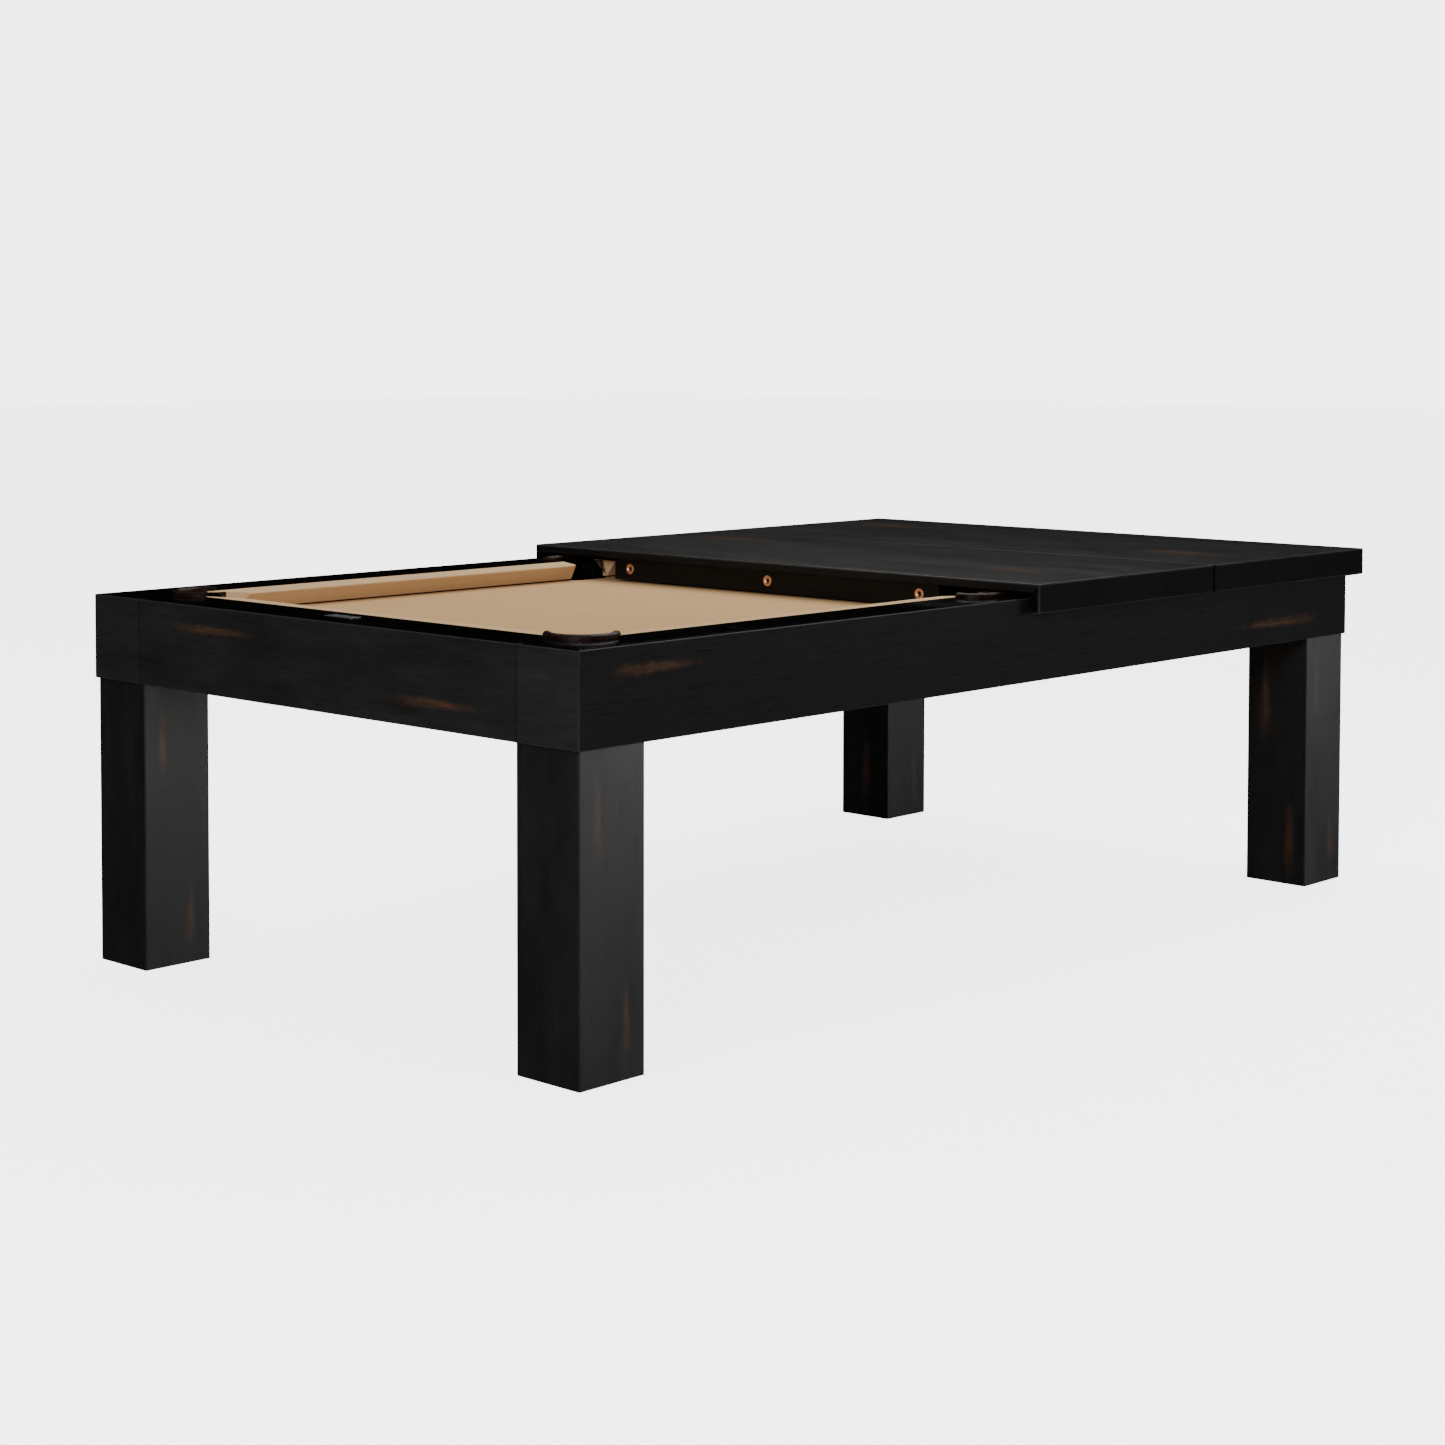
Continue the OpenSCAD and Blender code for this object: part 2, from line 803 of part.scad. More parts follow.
module middle_leaf_pins() {
  pin_end = end_x0 + board_in - flange_t + pin_reach;
  color("#b8b4ac") placed() pin_points() rod_x(pin_r, right_board_x + board_t - pin_root, pin_end);
}

module end_leaf_board() {
  color("#161514") placed() board(end_x0 + board_in, sleeve_r + thread_clear);
}

module end_leaf_sockets() {
  color("#b07b4f") placed() pin_points() socket(end_x0 + board_in);
}

// Pads along both sides of a leaf that runs from x0 to x1.
module side_pads(x0, x1) {
  for (m = [0, 1], t = [0.15, 0.5, 0.85]) mirror([0, m, 0])
    translate([x0 + t * (x1 - x0) - pad_l / 2, half_w - pad_in - pad_w, rail_top + rest_gap])
      cube([pad_l, pad_w, pad_h - rest_gap]);
}

module middle_leaf_pads() {
  color("#2d2b29") placed() side_pads(middle_x0, middle_x1);
}

module end_leaf_pads() {
  color("#2d2b29") placed() {
    side_pads(end_x0, half_l);
    for (s = [-1, 1]) translate([half_l - pad_in - pad_w, s * half_w / 2 - pad_l / 2, rail_top + rest_gap])
      cube([pad_w, pad_l, pad_h - rest_gap]);
  }
}

// ---------- nodes ----------

for (c = CORNERS) {
  leg(c);
  corner_return(c);
  side_rail(c);
  side_cushion(c);
  corner_trim(c);
}
for (s = SIDES) {
  side_apron(s[1]);
  side_trim(s[1]);
  corner_liners(s[1]);
}
for (e = ENDS) {
  end_apron(e[1]);
  end_rail(e[1]);
  end_cushion(e[1]);
}
leg_blocks();
leg_glides();
leg_bolts();
corner_plates();
side_beams();
cross_beams();
centre_beams();
slate(-1);  // slate_left
slate(0);  // slate_middle
slate(1);  // slate_right
slate_screws();
bed_cloth();
rail_bolts();
rail_sights();
blank_plate();
side_pocket_liners();
middle_leaf_panel();
middle_leaf_skirts();
middle_leaf_boards();
middle_leaf_sockets();
middle_leaf_pins();
middle_leaf_pads();
end_leaf_panel();
end_leaf_side_skirts();
end_leaf_end_skirt();
end_leaf_board();
end_leaf_sockets();
end_leaf_pads();
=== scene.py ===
"""Slate-bed pocket table with dining leaves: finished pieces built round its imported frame."""

import math

import bmesh
import bpy
from bpy.props import FloatProperty, FloatVectorProperty, IntProperty, PointerProperty
from bpy.types import Operator, Panel, PropertyGroup
from mathutils import Matrix, Vector, noise


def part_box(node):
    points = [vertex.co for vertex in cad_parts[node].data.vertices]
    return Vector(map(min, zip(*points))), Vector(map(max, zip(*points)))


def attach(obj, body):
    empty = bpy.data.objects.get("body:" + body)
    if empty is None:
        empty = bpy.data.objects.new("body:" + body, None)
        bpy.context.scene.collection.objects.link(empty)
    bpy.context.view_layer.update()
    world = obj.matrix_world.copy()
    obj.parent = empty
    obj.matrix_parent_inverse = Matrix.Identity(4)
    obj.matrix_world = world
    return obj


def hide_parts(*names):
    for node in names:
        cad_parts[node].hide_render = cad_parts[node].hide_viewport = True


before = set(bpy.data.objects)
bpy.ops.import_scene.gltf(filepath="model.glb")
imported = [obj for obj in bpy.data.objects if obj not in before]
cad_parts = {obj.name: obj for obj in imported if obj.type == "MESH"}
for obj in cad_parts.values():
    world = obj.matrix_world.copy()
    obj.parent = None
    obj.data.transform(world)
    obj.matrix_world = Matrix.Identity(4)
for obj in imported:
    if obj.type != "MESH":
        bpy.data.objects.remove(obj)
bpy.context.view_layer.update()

bl_info = {
    "name": "Pocket table with dining leaves",
    "version": (1, 0, 0),
    "blender": (4, 5, 0),
    "location": "3D View > Sidebar > Pocket Table",
    "description": "Builds the finished pieces of a slate-bed pocket table round its frame",
    "category": "Object",
}

CORNERS = {
    "front_left": (-1, -1),
    "front_right": (1, -1),
    "back_left": (-1, 1),
    "back_right": (1, 1),
}
SIDES = {"front": -1, "back": 1}
ENDS = {"left": -1, "right": 1}


# ---------- sizes and colours that a user would change ----------


def colour(name, description, default):
    """A colour property in scene-linear values."""
    return FloatVectorProperty(
        name=name, description=description, default=default, subtype="COLOR", size=3, min=0, max=1
    )


def length(name, description, default):
    """A length property in metres."""
    return FloatProperty(
        name=name, description=description, default=default, min=0, unit="LENGTH", precision=4
    )


def amount(name, description, default, top=1.0):
    """A plain number from zero up."""
    return FloatProperty(name=name, description=description, default=default, min=0, max=top)


class WoodLook(PropertyGroup):
    """The black stained wood of the cabinet, legs and leaves."""

    stain: colour("Stain", "Colour of the stained wood", (0.0100, 0.0099, 0.0098))
    # The worn edge colour is partly wear and partly a painted highlight on the rounded edges.
    pale: colour("Worn and highlighted edge", "Colour of edges where the stain has thinned", (0.028, 0.027, 0.026))
    bare: colour("Rub-through", "Brown of the wood where the stain is rubbed away", (0.075, 0.032, 0.013))
    unfinished: colour("Unfinished wood", "Softwood and plywood inside the cabinet", (0.42, 0.27, 0.14))
    arris: length("Arris", "Rounding of the cabinet's outer edges", 0.0022)
    leaf_arris: length("Leaf arris", "Rounding of the dining leaves' edges", 0.0038)
    seam: length("Seam", "Small chamfer where two boards meet", 0.0008)
    fibre: amount("Fibre", "Contrast of the fine grain", 0.30)
    mottle: amount("Mottle", "Contrast of the cloudy tone", 0.30)
    strip: length("Glued strip", "Width of the strips that the leaves are glued up from", 0.111)


class ClothLook(PropertyGroup):
    """The billiard cloth on the bed and the cushions."""

    dye: colour("Dye", "Colour of the cloth", (0.49, 0.305, 0.145))
    # The cushion dye is a lighter copy of the bed's dye on the same cloth: painted light on the cushions.
    cushion: colour("Cushion dye and painted light", "Colour of the cloth on the cushions", (0.54, 0.362, 0.195))
    thread: length("Thread", "Spacing of the cloth's threads", 0.0006)
    nose: length("Nose", "Rounding of the cushions' noses", 0.0035)
    ripple: length("Ripple", "How far the cloth wanders over the cushion rubber", 0.0004)


class LeatherLook(PropertyGroup):
    """The leather-wrapped pocket trims."""

    hide: colour("Hide", "Colour of the leather", (0.0060, 0.0030, 0.0023))
    rim: colour("Rim", "Colour of the leather where it is rubbed", (0.028, 0.0105, 0.005))
    centre: length("Corner middle", "From a corner pocket's middle to the cabinet's faces", 0.165)
    radius: length("Corner roll", "From a corner pocket's middle to the middle of its roll", 0.063)
    depth: length("Side middle", "From a side pocket's round ends' middle to the cabinet's face", 0.107)
    reach: length("Side reach", "Half the distance between the middles of a side pocket's round ends", 0.042)
    turn: length("Side roll", "From the middle of a round end to the middle of its roll", 0.039)
    roll: length("Roll", "Radius of the rolls", 0.010)
    neck: length("Neck", "Half the thickness of the skirt below a roll", 0.0085)
    wrinkle: length("Wrinkle", "Depth of the gathers round the inside of a roll", 0.0005)
    gathers: IntProperty(name="Gathers", description="Gathers round a full turn", default=38, min=3, max=90)


class MetalLook(PropertyGroup):
    """Sockets, pins, bolts and the plate."""

    copper: colour("Socket", "Copper tone of the leaf sockets", (0.72, 0.45, 0.30))
    steel: colour("Steel", "Turned steel of the pins", (0.55, 0.54, 0.52))
    zinc: colour("Zinc", "Plating of the bolts and screws", (0.50, 0.51, 0.52))
    plate: colour("Plate", "Plain plate on the end rail", (0.14, 0.14, 0.14))
    flange: length("Flange edge", "Rounding of a socket's flange", 0.0005)


class StageLook(PropertyGroup):
    """Floor, lights and camera."""

    floor: colour("Floor", "Colour of the floor", (0.86, 0.86, 0.86))
    sky_low: amount("Low sky", "Brightness that the object sees near the horizon", 0.10, 10)
    sky_high: amount("High sky", "Brightness that the object sees overhead", 0.95, 10)
    mirror: amount("Mirrored sky", "Share of the sky's brightness that glossy surfaces mirror", 0.30, 2)
    backdrop: amount("Backdrop", "Brightness of the backdrop that the camera sees", 4.5, 20)
    key: amount("Overhead light", "Power of the softbox overhead, in watts", 90, 5000)
    side: amount("Side light", "Power of the softbox at the front right, in watts", 165, 5000)
    fill: amount("Fill light", "Power of the softbox at the front left, in watts", 225, 5000)
    lens: FloatProperty(name="Lens", description="Focal length", default=66.459, min=1, unit="CAMERA")
    eye: FloatVectorProperty(
        name="Eye",
        description="Where the camera stands",
        default=(-4.5170, -4.0843, 1.3303),
        subtype="TRANSLATION",
        unit="LENGTH",
        size=3,
    )
    yaw: FloatProperty(
        name="Yaw", description="Bearing from +X", default=math.radians(43.1499), subtype="ANGLE"
    )
    pitch: FloatProperty(
        name="Pitch", description="How far it looks down", default=math.radians(2.4510), subtype="ANGLE"
    )
    roll: FloatProperty(
        name="Roll", description="Tilt to the left", default=math.radians(0.0898), subtype="ANGLE"
    )
    rise: FloatProperty(name="Rise", description="Vertical lens shift", default=-0.18858)


class TableLook(PropertyGroup):
    """Everything a user would change."""

    wood: PointerProperty(type=WoodLook)
    cloth: PointerProperty(type=ClothLook)
    leather: PointerProperty(type=LeatherLook)
    metal: PointerProperty(type=MetalLook)
    stage: PointerProperty(type=StageLook)


# ---------- places, read from the frame ----------


def low(node):
    return Vector(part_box(node)[0])


def high(node):
    return Vector(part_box(node)[1])


class Places:
    """Faces and levels of the cabinet and the leaves."""

    left = low("end_apron_left").x
    right = high("end_apron_right").x
    front = low("side_apron_front").y
    back = high("side_apron_back").y
    apron = high("end_apron_left").x - low("end_apron_left").x
    cabinet_foot = low("end_apron_left").z
    rail_top = high("rail_left").z
    bed = high("bed_cloth").z
    leaf_top = high("middle_leaf_panel").z
    panel_foot = low("middle_leaf_panel").z
    skirt_foot = low("middle_leaf_skirts").z
    middle_left = low("middle_leaf_panel").x
    middle_right = high("middle_leaf_panel").x
    end_left = low("end_leaf_panel").x
    end_right = high("end_leaf_panel").x
    leaf_front = low("middle_leaf_panel").y
    leaf_back = high("middle_leaf_panel").y
    skirt = high("end_leaf_end_skirt").x - low("end_leaf_end_skirt").x


# ---------- mesh helpers ----------

# Faces that meet at more than this many degrees are shaded apart.
SQUARE = 50
# Corners closer than this are one corner, in metres.
SAME = 1e-6


def finish_piece(bm, node, material, body="table"):
    """The mesh becomes a shown piece that rides on its body and stands for its node."""
    bmesh.ops.recalc_face_normals(bm, faces=bm.faces)
    for face in bm.faces:
        face.smooth = True
    for edge in sharp_edges(bm, SQUARE):
        edge.smooth = False
    mesh = bpy.data.meshes.new(f"{node}_piece")
    bm.to_mesh(mesh)
    bm.free()
    piece = bpy.data.objects.new(f"{node}_piece", mesh)
    bpy.context.scene.collection.objects.link(piece)
    mesh.materials.append(material)
    even = piece.modifiers.new("even shading", "WEIGHTED_NORMAL")
    even.keep_sharp = True
    even.weight = 80
    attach(piece, body)
    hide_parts(node)
    return piece


def only_edges(parts):
    return [part for part in parts if isinstance(part, bmesh.types.BMEdge)]


def bevel(bm, edges, offset, segments=3, wear_and_light_marks=None):
    """Rounds the edges and returns the new faces, which are marked for edge wear and painted highlight."""
    faces = bmesh.ops.bevel(
        bm,
        geom=edges,
        offset=offset,
        offset_type="OFFSET",
        segments=segments,
        profile=0.5,
        affect="EDGES",
        clamp_overlap=True,
        material=-1,
    )["faces"]
    if wear_and_light_marks is not None:
        for face in faces:
            face[wear_and_light_marks] = 1.0
    return faces


def sharp_edges(bm, angle, least=0.0):
    """Edges where two faces meet at more than the angle."""
    return [
        e
        for e in bm.edges
        if len(e.link_faces) == 2
        and e.calc_face_angle(0) > math.radians(angle)
        and e.calc_length() > least
    ]


def block(bm, lo, hi):
    """A rectangular block from corner to corner."""
    middle = (Vector(lo) + Vector(hi)) / 2
    size = Vector(hi) - Vector(lo)
    place = Matrix.Translation(middle) @ Matrix.Diagonal((*size, 1))
    bmesh.ops.create_cube(bm, size=1, matrix=place)


def slice_at(bm, point, outward, parts=None, clear=True, snap=SAME):
    """Cuts a mesh or some of its parts along a plane, clears what lies outside and returns the rim."""
    made = bmesh.ops.bisect_plane(
        bm,
        geom=parts or bm.verts[:] + bm.edges[:] + bm.faces[:],
        dist=snap,
        plane_co=point,
        plane_no=outward,
        clear_outer=clear,
    )
    return only_edges(made["geom_cut"])


def saw(bm, point, outward):
    """Cuts away what lies outside a plane and closes the cut."""
    return bmesh.ops.edgeloop_fill(bm, edges=slice_at(bm, point, outward))["faces"]


def carved(lo, hi, arris, cuts, seam):
    """A board sawn from a block whose edges are rounded first, so that mitred boards share one arris."""
    bm = bmesh.new()
    wear_and_light_marks = bm.faces.layers.float.new("wear_and_light_marks")
    block(bm, lo, hi)
    bevel(bm, bm.edges[:], arris, 4, wear_and_light_marks)
    sawn = []
    for point, outward in cuts:
        sawn += saw(bm, point, outward)
    joints = {
        e
        for f in sawn
        if f.is_valid
        for e in f.edges
        if len(e.link_faces) == 2 and e.calc_face_angle(0) > math.radians(20)
    }
    # Mitre joints are marked for a painted shadow in the seam.
    for face in bevel(bm, list(joints), seam, 2):
        face[wear_and_light_marks] = -1.0
    return bm


def copied(node, arris, angle=35, least=0.03, segments=3):
    """A merged copy of a node with its long sharp edges rounded."""
    bm = bmesh.new()
    bm.from_mesh(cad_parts[node].data)
    wear_and_light_marks = bm.faces.layers.float.new("wear_and_light_marks")
    bmesh.ops.remove_doubles(bm, verts=bm.verts, dist=1e-5)
    bmesh.ops.dissolve_limit(
        bm, angle_limit=math.radians(0.4), use_dissolve_boundaries=False, verts=bm.verts, edges=bm.edges
    )
    bevel(bm, sharp_edges(bm, angle, least), arris, segments, wear_and_light_marks)
    return bm


def several(parts):
    """One mesh from several."""
    whole = bmesh.new()
    whole.faces.layers.float.new("wear_and_light_marks")
    for one in parts:
        part = bpy.data.meshes.new("part")
        one.to_mesh(part)
        one.free()
        whole.from_mesh(part)
        bpy.data.meshes.remove(part)
    return whole


def corner_place(corner):
    """The matrix from corner coordinates, counted inwards from both faces, to the frame."""
    along, across = CORNERS[corner]
    x = Places.left if along < 0 else Places.right
    y = Places.front if across < 0 else Places.back
    return Matrix.Translation((x, y, 0)) @ Matrix.Diagonal((-along, -across, 1, 1))


# ---------- shader node helpers ----------


def add(tree, kind, **settings):
    """A new node with its properties set."""
    made = tree.nodes.new(kind)
    for key, value in settings.items():
        setattr(made, key, value)
    return made


def feed(tree, socket, value):
    """Links a socket, or sets it to a plain value."""
    if isinstance(value, bpy.types.NodeSocket):
        tree.links.new(value, socket)
    elif value is not None:
        socket.default_value = value


def maths(tree, operation, *values, clamp=False):
    made = add(tree, "ShaderNodeMath", operation=operation, use_clamp=clamp)
    for socket, value in zip(made.inputs, values):
        feed(tree, socket, value)
    return made.outputs[0]


def times(tree, first, second):
    return maths(tree, "MULTIPLY", first, second)


def swing(tree, value, reach, middle):
    """A value that swings about a half, made to swing about the middle."""
    return maths(tree, "MULTIPLY_ADD", maths(tree, "SUBTRACT", value, 0.5), reach, middle)


def vectors(tree, operation, *values, scale=None):
    made = add(tree, "ShaderNodeVectorMath", operation=operation)
    for socket, value in zip(made.inputs, values):
        feed(tree, socket, value)
    if scale is not None:
        feed(tree, made.inputs["Scale"], scale)
    return made.outputs["Value" if operation in {"DOT_PRODUCT", "LENGTH"} else "Vector"]


def spread(tree, value, from_low, from_high, to_low=0.0, to_high=1.0, smooth=False):
    """Maps one range onto another, clamped."""
    made = add(tree, "ShaderNodeMapRange", interpolation_type="SMOOTHSTEP" if smooth else "LINEAR")
    for socket, number in zip(made.inputs, (value, from_low, from_high, to_low, to_high)):
        feed(tree, socket, number)
    return made.outputs[0]


def plain(tree, tint):
    """One colour."""
    made = add(tree, "ShaderNodeRGB")
    made.outputs[0].default_value = (*tint, 1)
    return made.outputs[0]


def blend(tree, factor, first, second):
    made = add(tree, "ShaderNodeMix", data_type="RGBA")
    feed(tree, made.inputs[0], factor)
    for socket, value in ((made.inputs[6], first), (made.inputs[7], second)):
        feed(tree, socket, (*value, 1.0) if isinstance(value, (tuple, list)) else value)
    return made.outputs[2]


def shade(tree, tone, factor, tint):
    """Darkens or lightens a colour by a tone that swings about a half."""
    return vectors(tree, "SCALE", tint, scale=swing(tree, tone, factor, 1.0))


def clouds(tree, vector, scale, detail=3.0, roughness=0.55, distortion=0.0):
    made = add(tree, "ShaderNodeTexNoise")
    given = {
        "Vector": vector,
        "Scale": scale,
        "Detail": detail,
        "Roughness": roughness,
        "Distortion": distortion,
    }
    for name, value in given.items():
        feed(tree, made.inputs[name], value)
    return made.outputs[0]


VALUE, VECTOR = "NodeSocketFloat", "NodeSocketVector"
ORIGIN = (0.0, 0.0, 0.0)


def group(name, outputs, **inputs):
    """Makes a function that draws nodes into one that gives them as a node group, drawn once."""

    def wrap(build):
        def given():
            found = bpy.data.node_groups.get(name)
            if found:
                return found
            tree = bpy.data.node_groups.new(name, "ShaderNodeTree")
            for label, default in inputs.items():
                kind = VECTOR if isinstance(default, tuple) else VALUE
                socket = tree.interface.new_socket(label, in_out="INPUT", socket_type=kind)
                socket.default_value = default
            for label in outputs:
                tree.interface.new_socket(label, in_out="OUTPUT", socket_type=VALUE)
            start = tree.nodes.new("NodeGroupInput")
            end = tree.nodes.new("NodeGroupOutput")
            for label, value in build(tree, start.outputs).items():
                feed(tree, end.inputs[label], value)
            return tree

        return given

    return wrap


def use(tree, made, **values):
    """Places a node group and fills its inputs."""
    node = add(tree, "ShaderNodeGroup", node_tree=made)
    for label, value in values.items():
        feed(tree, node.inputs[label], value)
    return node.outputs


@group("Wood grain", ("Fibre", "Pores", "Mottle"), Vector=ORIGIN, Stretch=ORIGIN, Fineness=620.0)
def grain_group(tree, given):
    """Fine fibres, open pores and a cloudy tone, all drawn out along the grain."""
    place, stretch, fineness = given["Vector"], given["Stretch"], given["Fineness"]
    drawn = vectors(tree, "MULTIPLY", place, stretch)
    eased = vectors(tree, "MULTIPLY_ADD", stretch, (0.75,) * 3, (0.25,) * 3)
    half_drawn = vectors(tree, "MULTIPLY", place, eased)
    fine = times(tree, clouds(tree, drawn, fineness, 4, 0.68), 0.6)
    coarse = times(tree, clouds(tree, drawn, times(tree, fineness, 0.3), 3, 0.65), 0.4)
    flecks = clouds(tree, drawn, times(tree, fineness, 0.8), 1, 0.5)
    return {
        "Fibre": maths(tree, "ADD", fine, coarse),
        "Pores": spread(tree, flecks, 0.64, 0.78),
        "Mottle": clouds(tree, half_drawn, 13.0, 5, 0.62, 0.3),
    }


@group("Glued strips", ("Tone", "Joint"), Vector=ORIGIN, Across=ORIGIN, Width=0.11)
def strips_group(tree, given):
    """A tone for each glued strip, and a hairline where two strips meet."""
    across = vectors(tree, "DOT_PRODUCT", given["Vector"], given["Across"])
    place = maths(tree, "DIVIDE", across, given["Width"])
    dice = add(tree, "ShaderNodeTexWhiteNoise", noise_dimensions="1D")
    feed(tree, dice.inputs["W"], maths(tree, "FLOOR", place))
    inside = maths(tree, "PINGPONG", place, 0.5)
    return {"Tone": dice.outputs["Value"], "Joint": spread(tree, inside, 0.0, 0.012, 1.0, 0.0)}


@group(
    "Rub-through",
    ("Mask",),
    Vector=ORIGIN,
    Centre=ORIGIN,
    Radii=(0.1, 0.1, 0.1),
    Tail=ORIGIN,
    Fibre=0.5,
    Strength=1.0,
)
def rub_group(tree, given):
    """A streak where the stain is rubbed through, drop-shaped and broken up by the grain."""
    away = vectors(tree, "SUBTRACT", given["Vector"], given["Centre"])
    away = vectors(tree, "DIVIDE", away, given["Radii"])
    along = vectors(tree, "DOT_PRODUCT", away, given["Tail"])
    aside = vectors(tree, "SUBTRACT", away, vectors(tree, "SCALE", given["Tail"], scale=along))
    narrowed = times(tree, vectors(tree, "LENGTH", aside), maths(tree, "MULTIPLY_ADD", along, 0.45, 1.0))
    squares = maths(tree, "ADD", times(tree, along, along), times(tree, narrowed, narrowed))
    cloud = clouds(tree, given["Vector"], 45.0, 3, 0.6)
    ragged = swing(tree, given["Fibre"], 1.6, maths(tree, "SQRT", squares))
    ragged = swing(tree, cloud, 0.9, ragged)
    body = spread(tree, ragged, 1.15, -0.05, smooth=True)
    broken = spread(tree, given["Fibre"], 0.40, 0.60, 0.35, 1.0)
    return {"Mask": times(tree, times(tree, body, broken), given["Strength"])}


@group("Edge wear and painted light", ("Mask", "Seam"), Vector=ORIGIN, Amount=1.0)
def edge_light_and_wear_group(tree, given):
    """Edges that handling has thinned, lifted further by a painted highlight, patchy along their length, and
    a painted shadow in a seam.
    """
    marked = add(tree, "ShaderNodeAttribute", attribute_name="wear_and_light_marks").outputs["Fac"]
    patches = spread(tree, clouds(tree, given["Vector"], 14.0, 4, 0.6), 0.36, 0.62, 0.55, 1.0)
    thinned = times(tree, maths(tree, "MAXIMUM", marked, 0.0), patches)
    return {
        "Mask": maths(tree, "MULTIPLY", thinned, given["Amount"], clamp=True),
        "Seam": maths(tree, "MULTIPLY", marked, -1.0, clamp=True),
    }


@group("Cloth weave", ("Height", "Tone"), Vector=ORIGIN, Thread=0.0006)
def weave_group(tree, given):
    """Crossed threads with a short nap over them."""
    turns = maths(tree, "DIVIDE", 2 * math.pi, given["Thread"])
    parts = add(tree, "ShaderNodeSeparateXYZ")
    feed(tree, parts.inputs[0], vectors(tree, "SCALE", given["Vector"], scale=turns))
    warp = maths(tree, "SINE", maths(tree, "ADD", parts.outputs[0], parts.outputs[2]))
    weft = maths(tree, "SINE", maths(tree, "SUBTRACT", parts.outputs[1], parts.outputs[2]))
    nap = clouds(tree, vectors(tree, "MULTIPLY", given["Vector"], (0.35, 1.0, 1.0)), 1500.0, 3, 0.7)
    patches = clouds(tree, given["Vector"], 5.0, 3, 0.55)
    return {
        "Height": maths(tree, "MULTIPLY_ADD", times(tree, warp, weft), 0.25, nap),
        "Tone": swing(tree, nap, 0.5, swing(tree, patches, 0.14, 0.0)),
    }


@group("Leather grain", ("Height", "Dye"), Vector=ORIGIN, Fineness=900.0)
def hide_group(tree, given):
    """Leather: fine cells, creases and a polished, uneven dye."""
    cells = add(tree, "ShaderNodeTexVoronoi", feature="DISTANCE_TO_EDGE")
    feed(tree, cells.inputs["Vector"], given["Vector"])
    feed(tree, cells.inputs["Scale"], given["Fineness"])
    cell = spread(tree, cells.outputs["Distance"], 0.0, 0.25)
    creases = clouds(tree, given["Vector"], times(tree, given["Fineness"], 0.14), 4, 0.6, 1.2)
    return {
        "Height": maths(tree, "MULTIPLY_ADD", creases, 1.6, cell),
        "Dye": spread(tree, clouds(tree, given["Vector"], 60.0, 4, 0.6, 0.8), 0.38, 0.66),
    }


@group("Brushed metal", ("Scratches", "Smudges"), Vector=ORIGIN, Stretch=ORIGIN)
def brushed_group(tree, given):
    """Fine parallel scratches and faint smudges on metal."""
    drawn = vectors(tree, "MULTIPLY", given["Vector"], given["Stretch"])
    return {
        "Scratches": clouds(tree, drawn, 2600.0, 3, 0.7),
        "Smudges": clouds(tree, given["Vector"], 55.0, 3, 0.6),
    }


# ---------- materials ----------

ALONG = {"x": (0.035, 1, 1), "y": (1, 0.035, 1), "z": (1, 1, 0.035)}
PORE = (0.002, 0.002, 0.002)
SEAM_SHADOW = (0.0004, 0.0004, 0.0004)


def new_material(name):
    """An empty material with its shader and the object's own coordinates."""
    made = bpy.data.materials.new(name)
    made.use_nodes = True
    tree = made.node_tree
    tree.nodes.clear()
    shader = add(tree, "ShaderNodeBsdfPrincipled")
    output = add(tree, "ShaderNodeOutputMaterial")
    tree.links.new(shader.outputs[0], output.inputs[0])
    place = add(tree, "ShaderNodeTexCoord").outputs["Object"]
    return made, tree, shader, place


def surface(tree, shader, tint, rough, gloss):
    """Sets a shader's colour, roughness and gloss."""
    feed(tree, shader.inputs["Base Color"], tint)
    feed(tree, shader.inputs["Roughness"], rough)
    feed(tree, shader.inputs["Specular IOR Level"], gloss)


def bump(tree, shader, height, strength, distance):
    made = add(tree, "ShaderNodeBump")
    feed(tree, made.inputs["Strength"], strength)
    feed(tree, made.inputs["Distance"], distance)
    feed(tree, made.inputs["Height"], height)
    tree.links.new(made.outputs[0], shader.inputs["Normal"])


def once(build):
    """A finish is built when its name is first asked for, and found after that."""

    def given(name, *values, **settings):
        return bpy.data.materials.get(name) or build(name, *values, **settings)

    return given


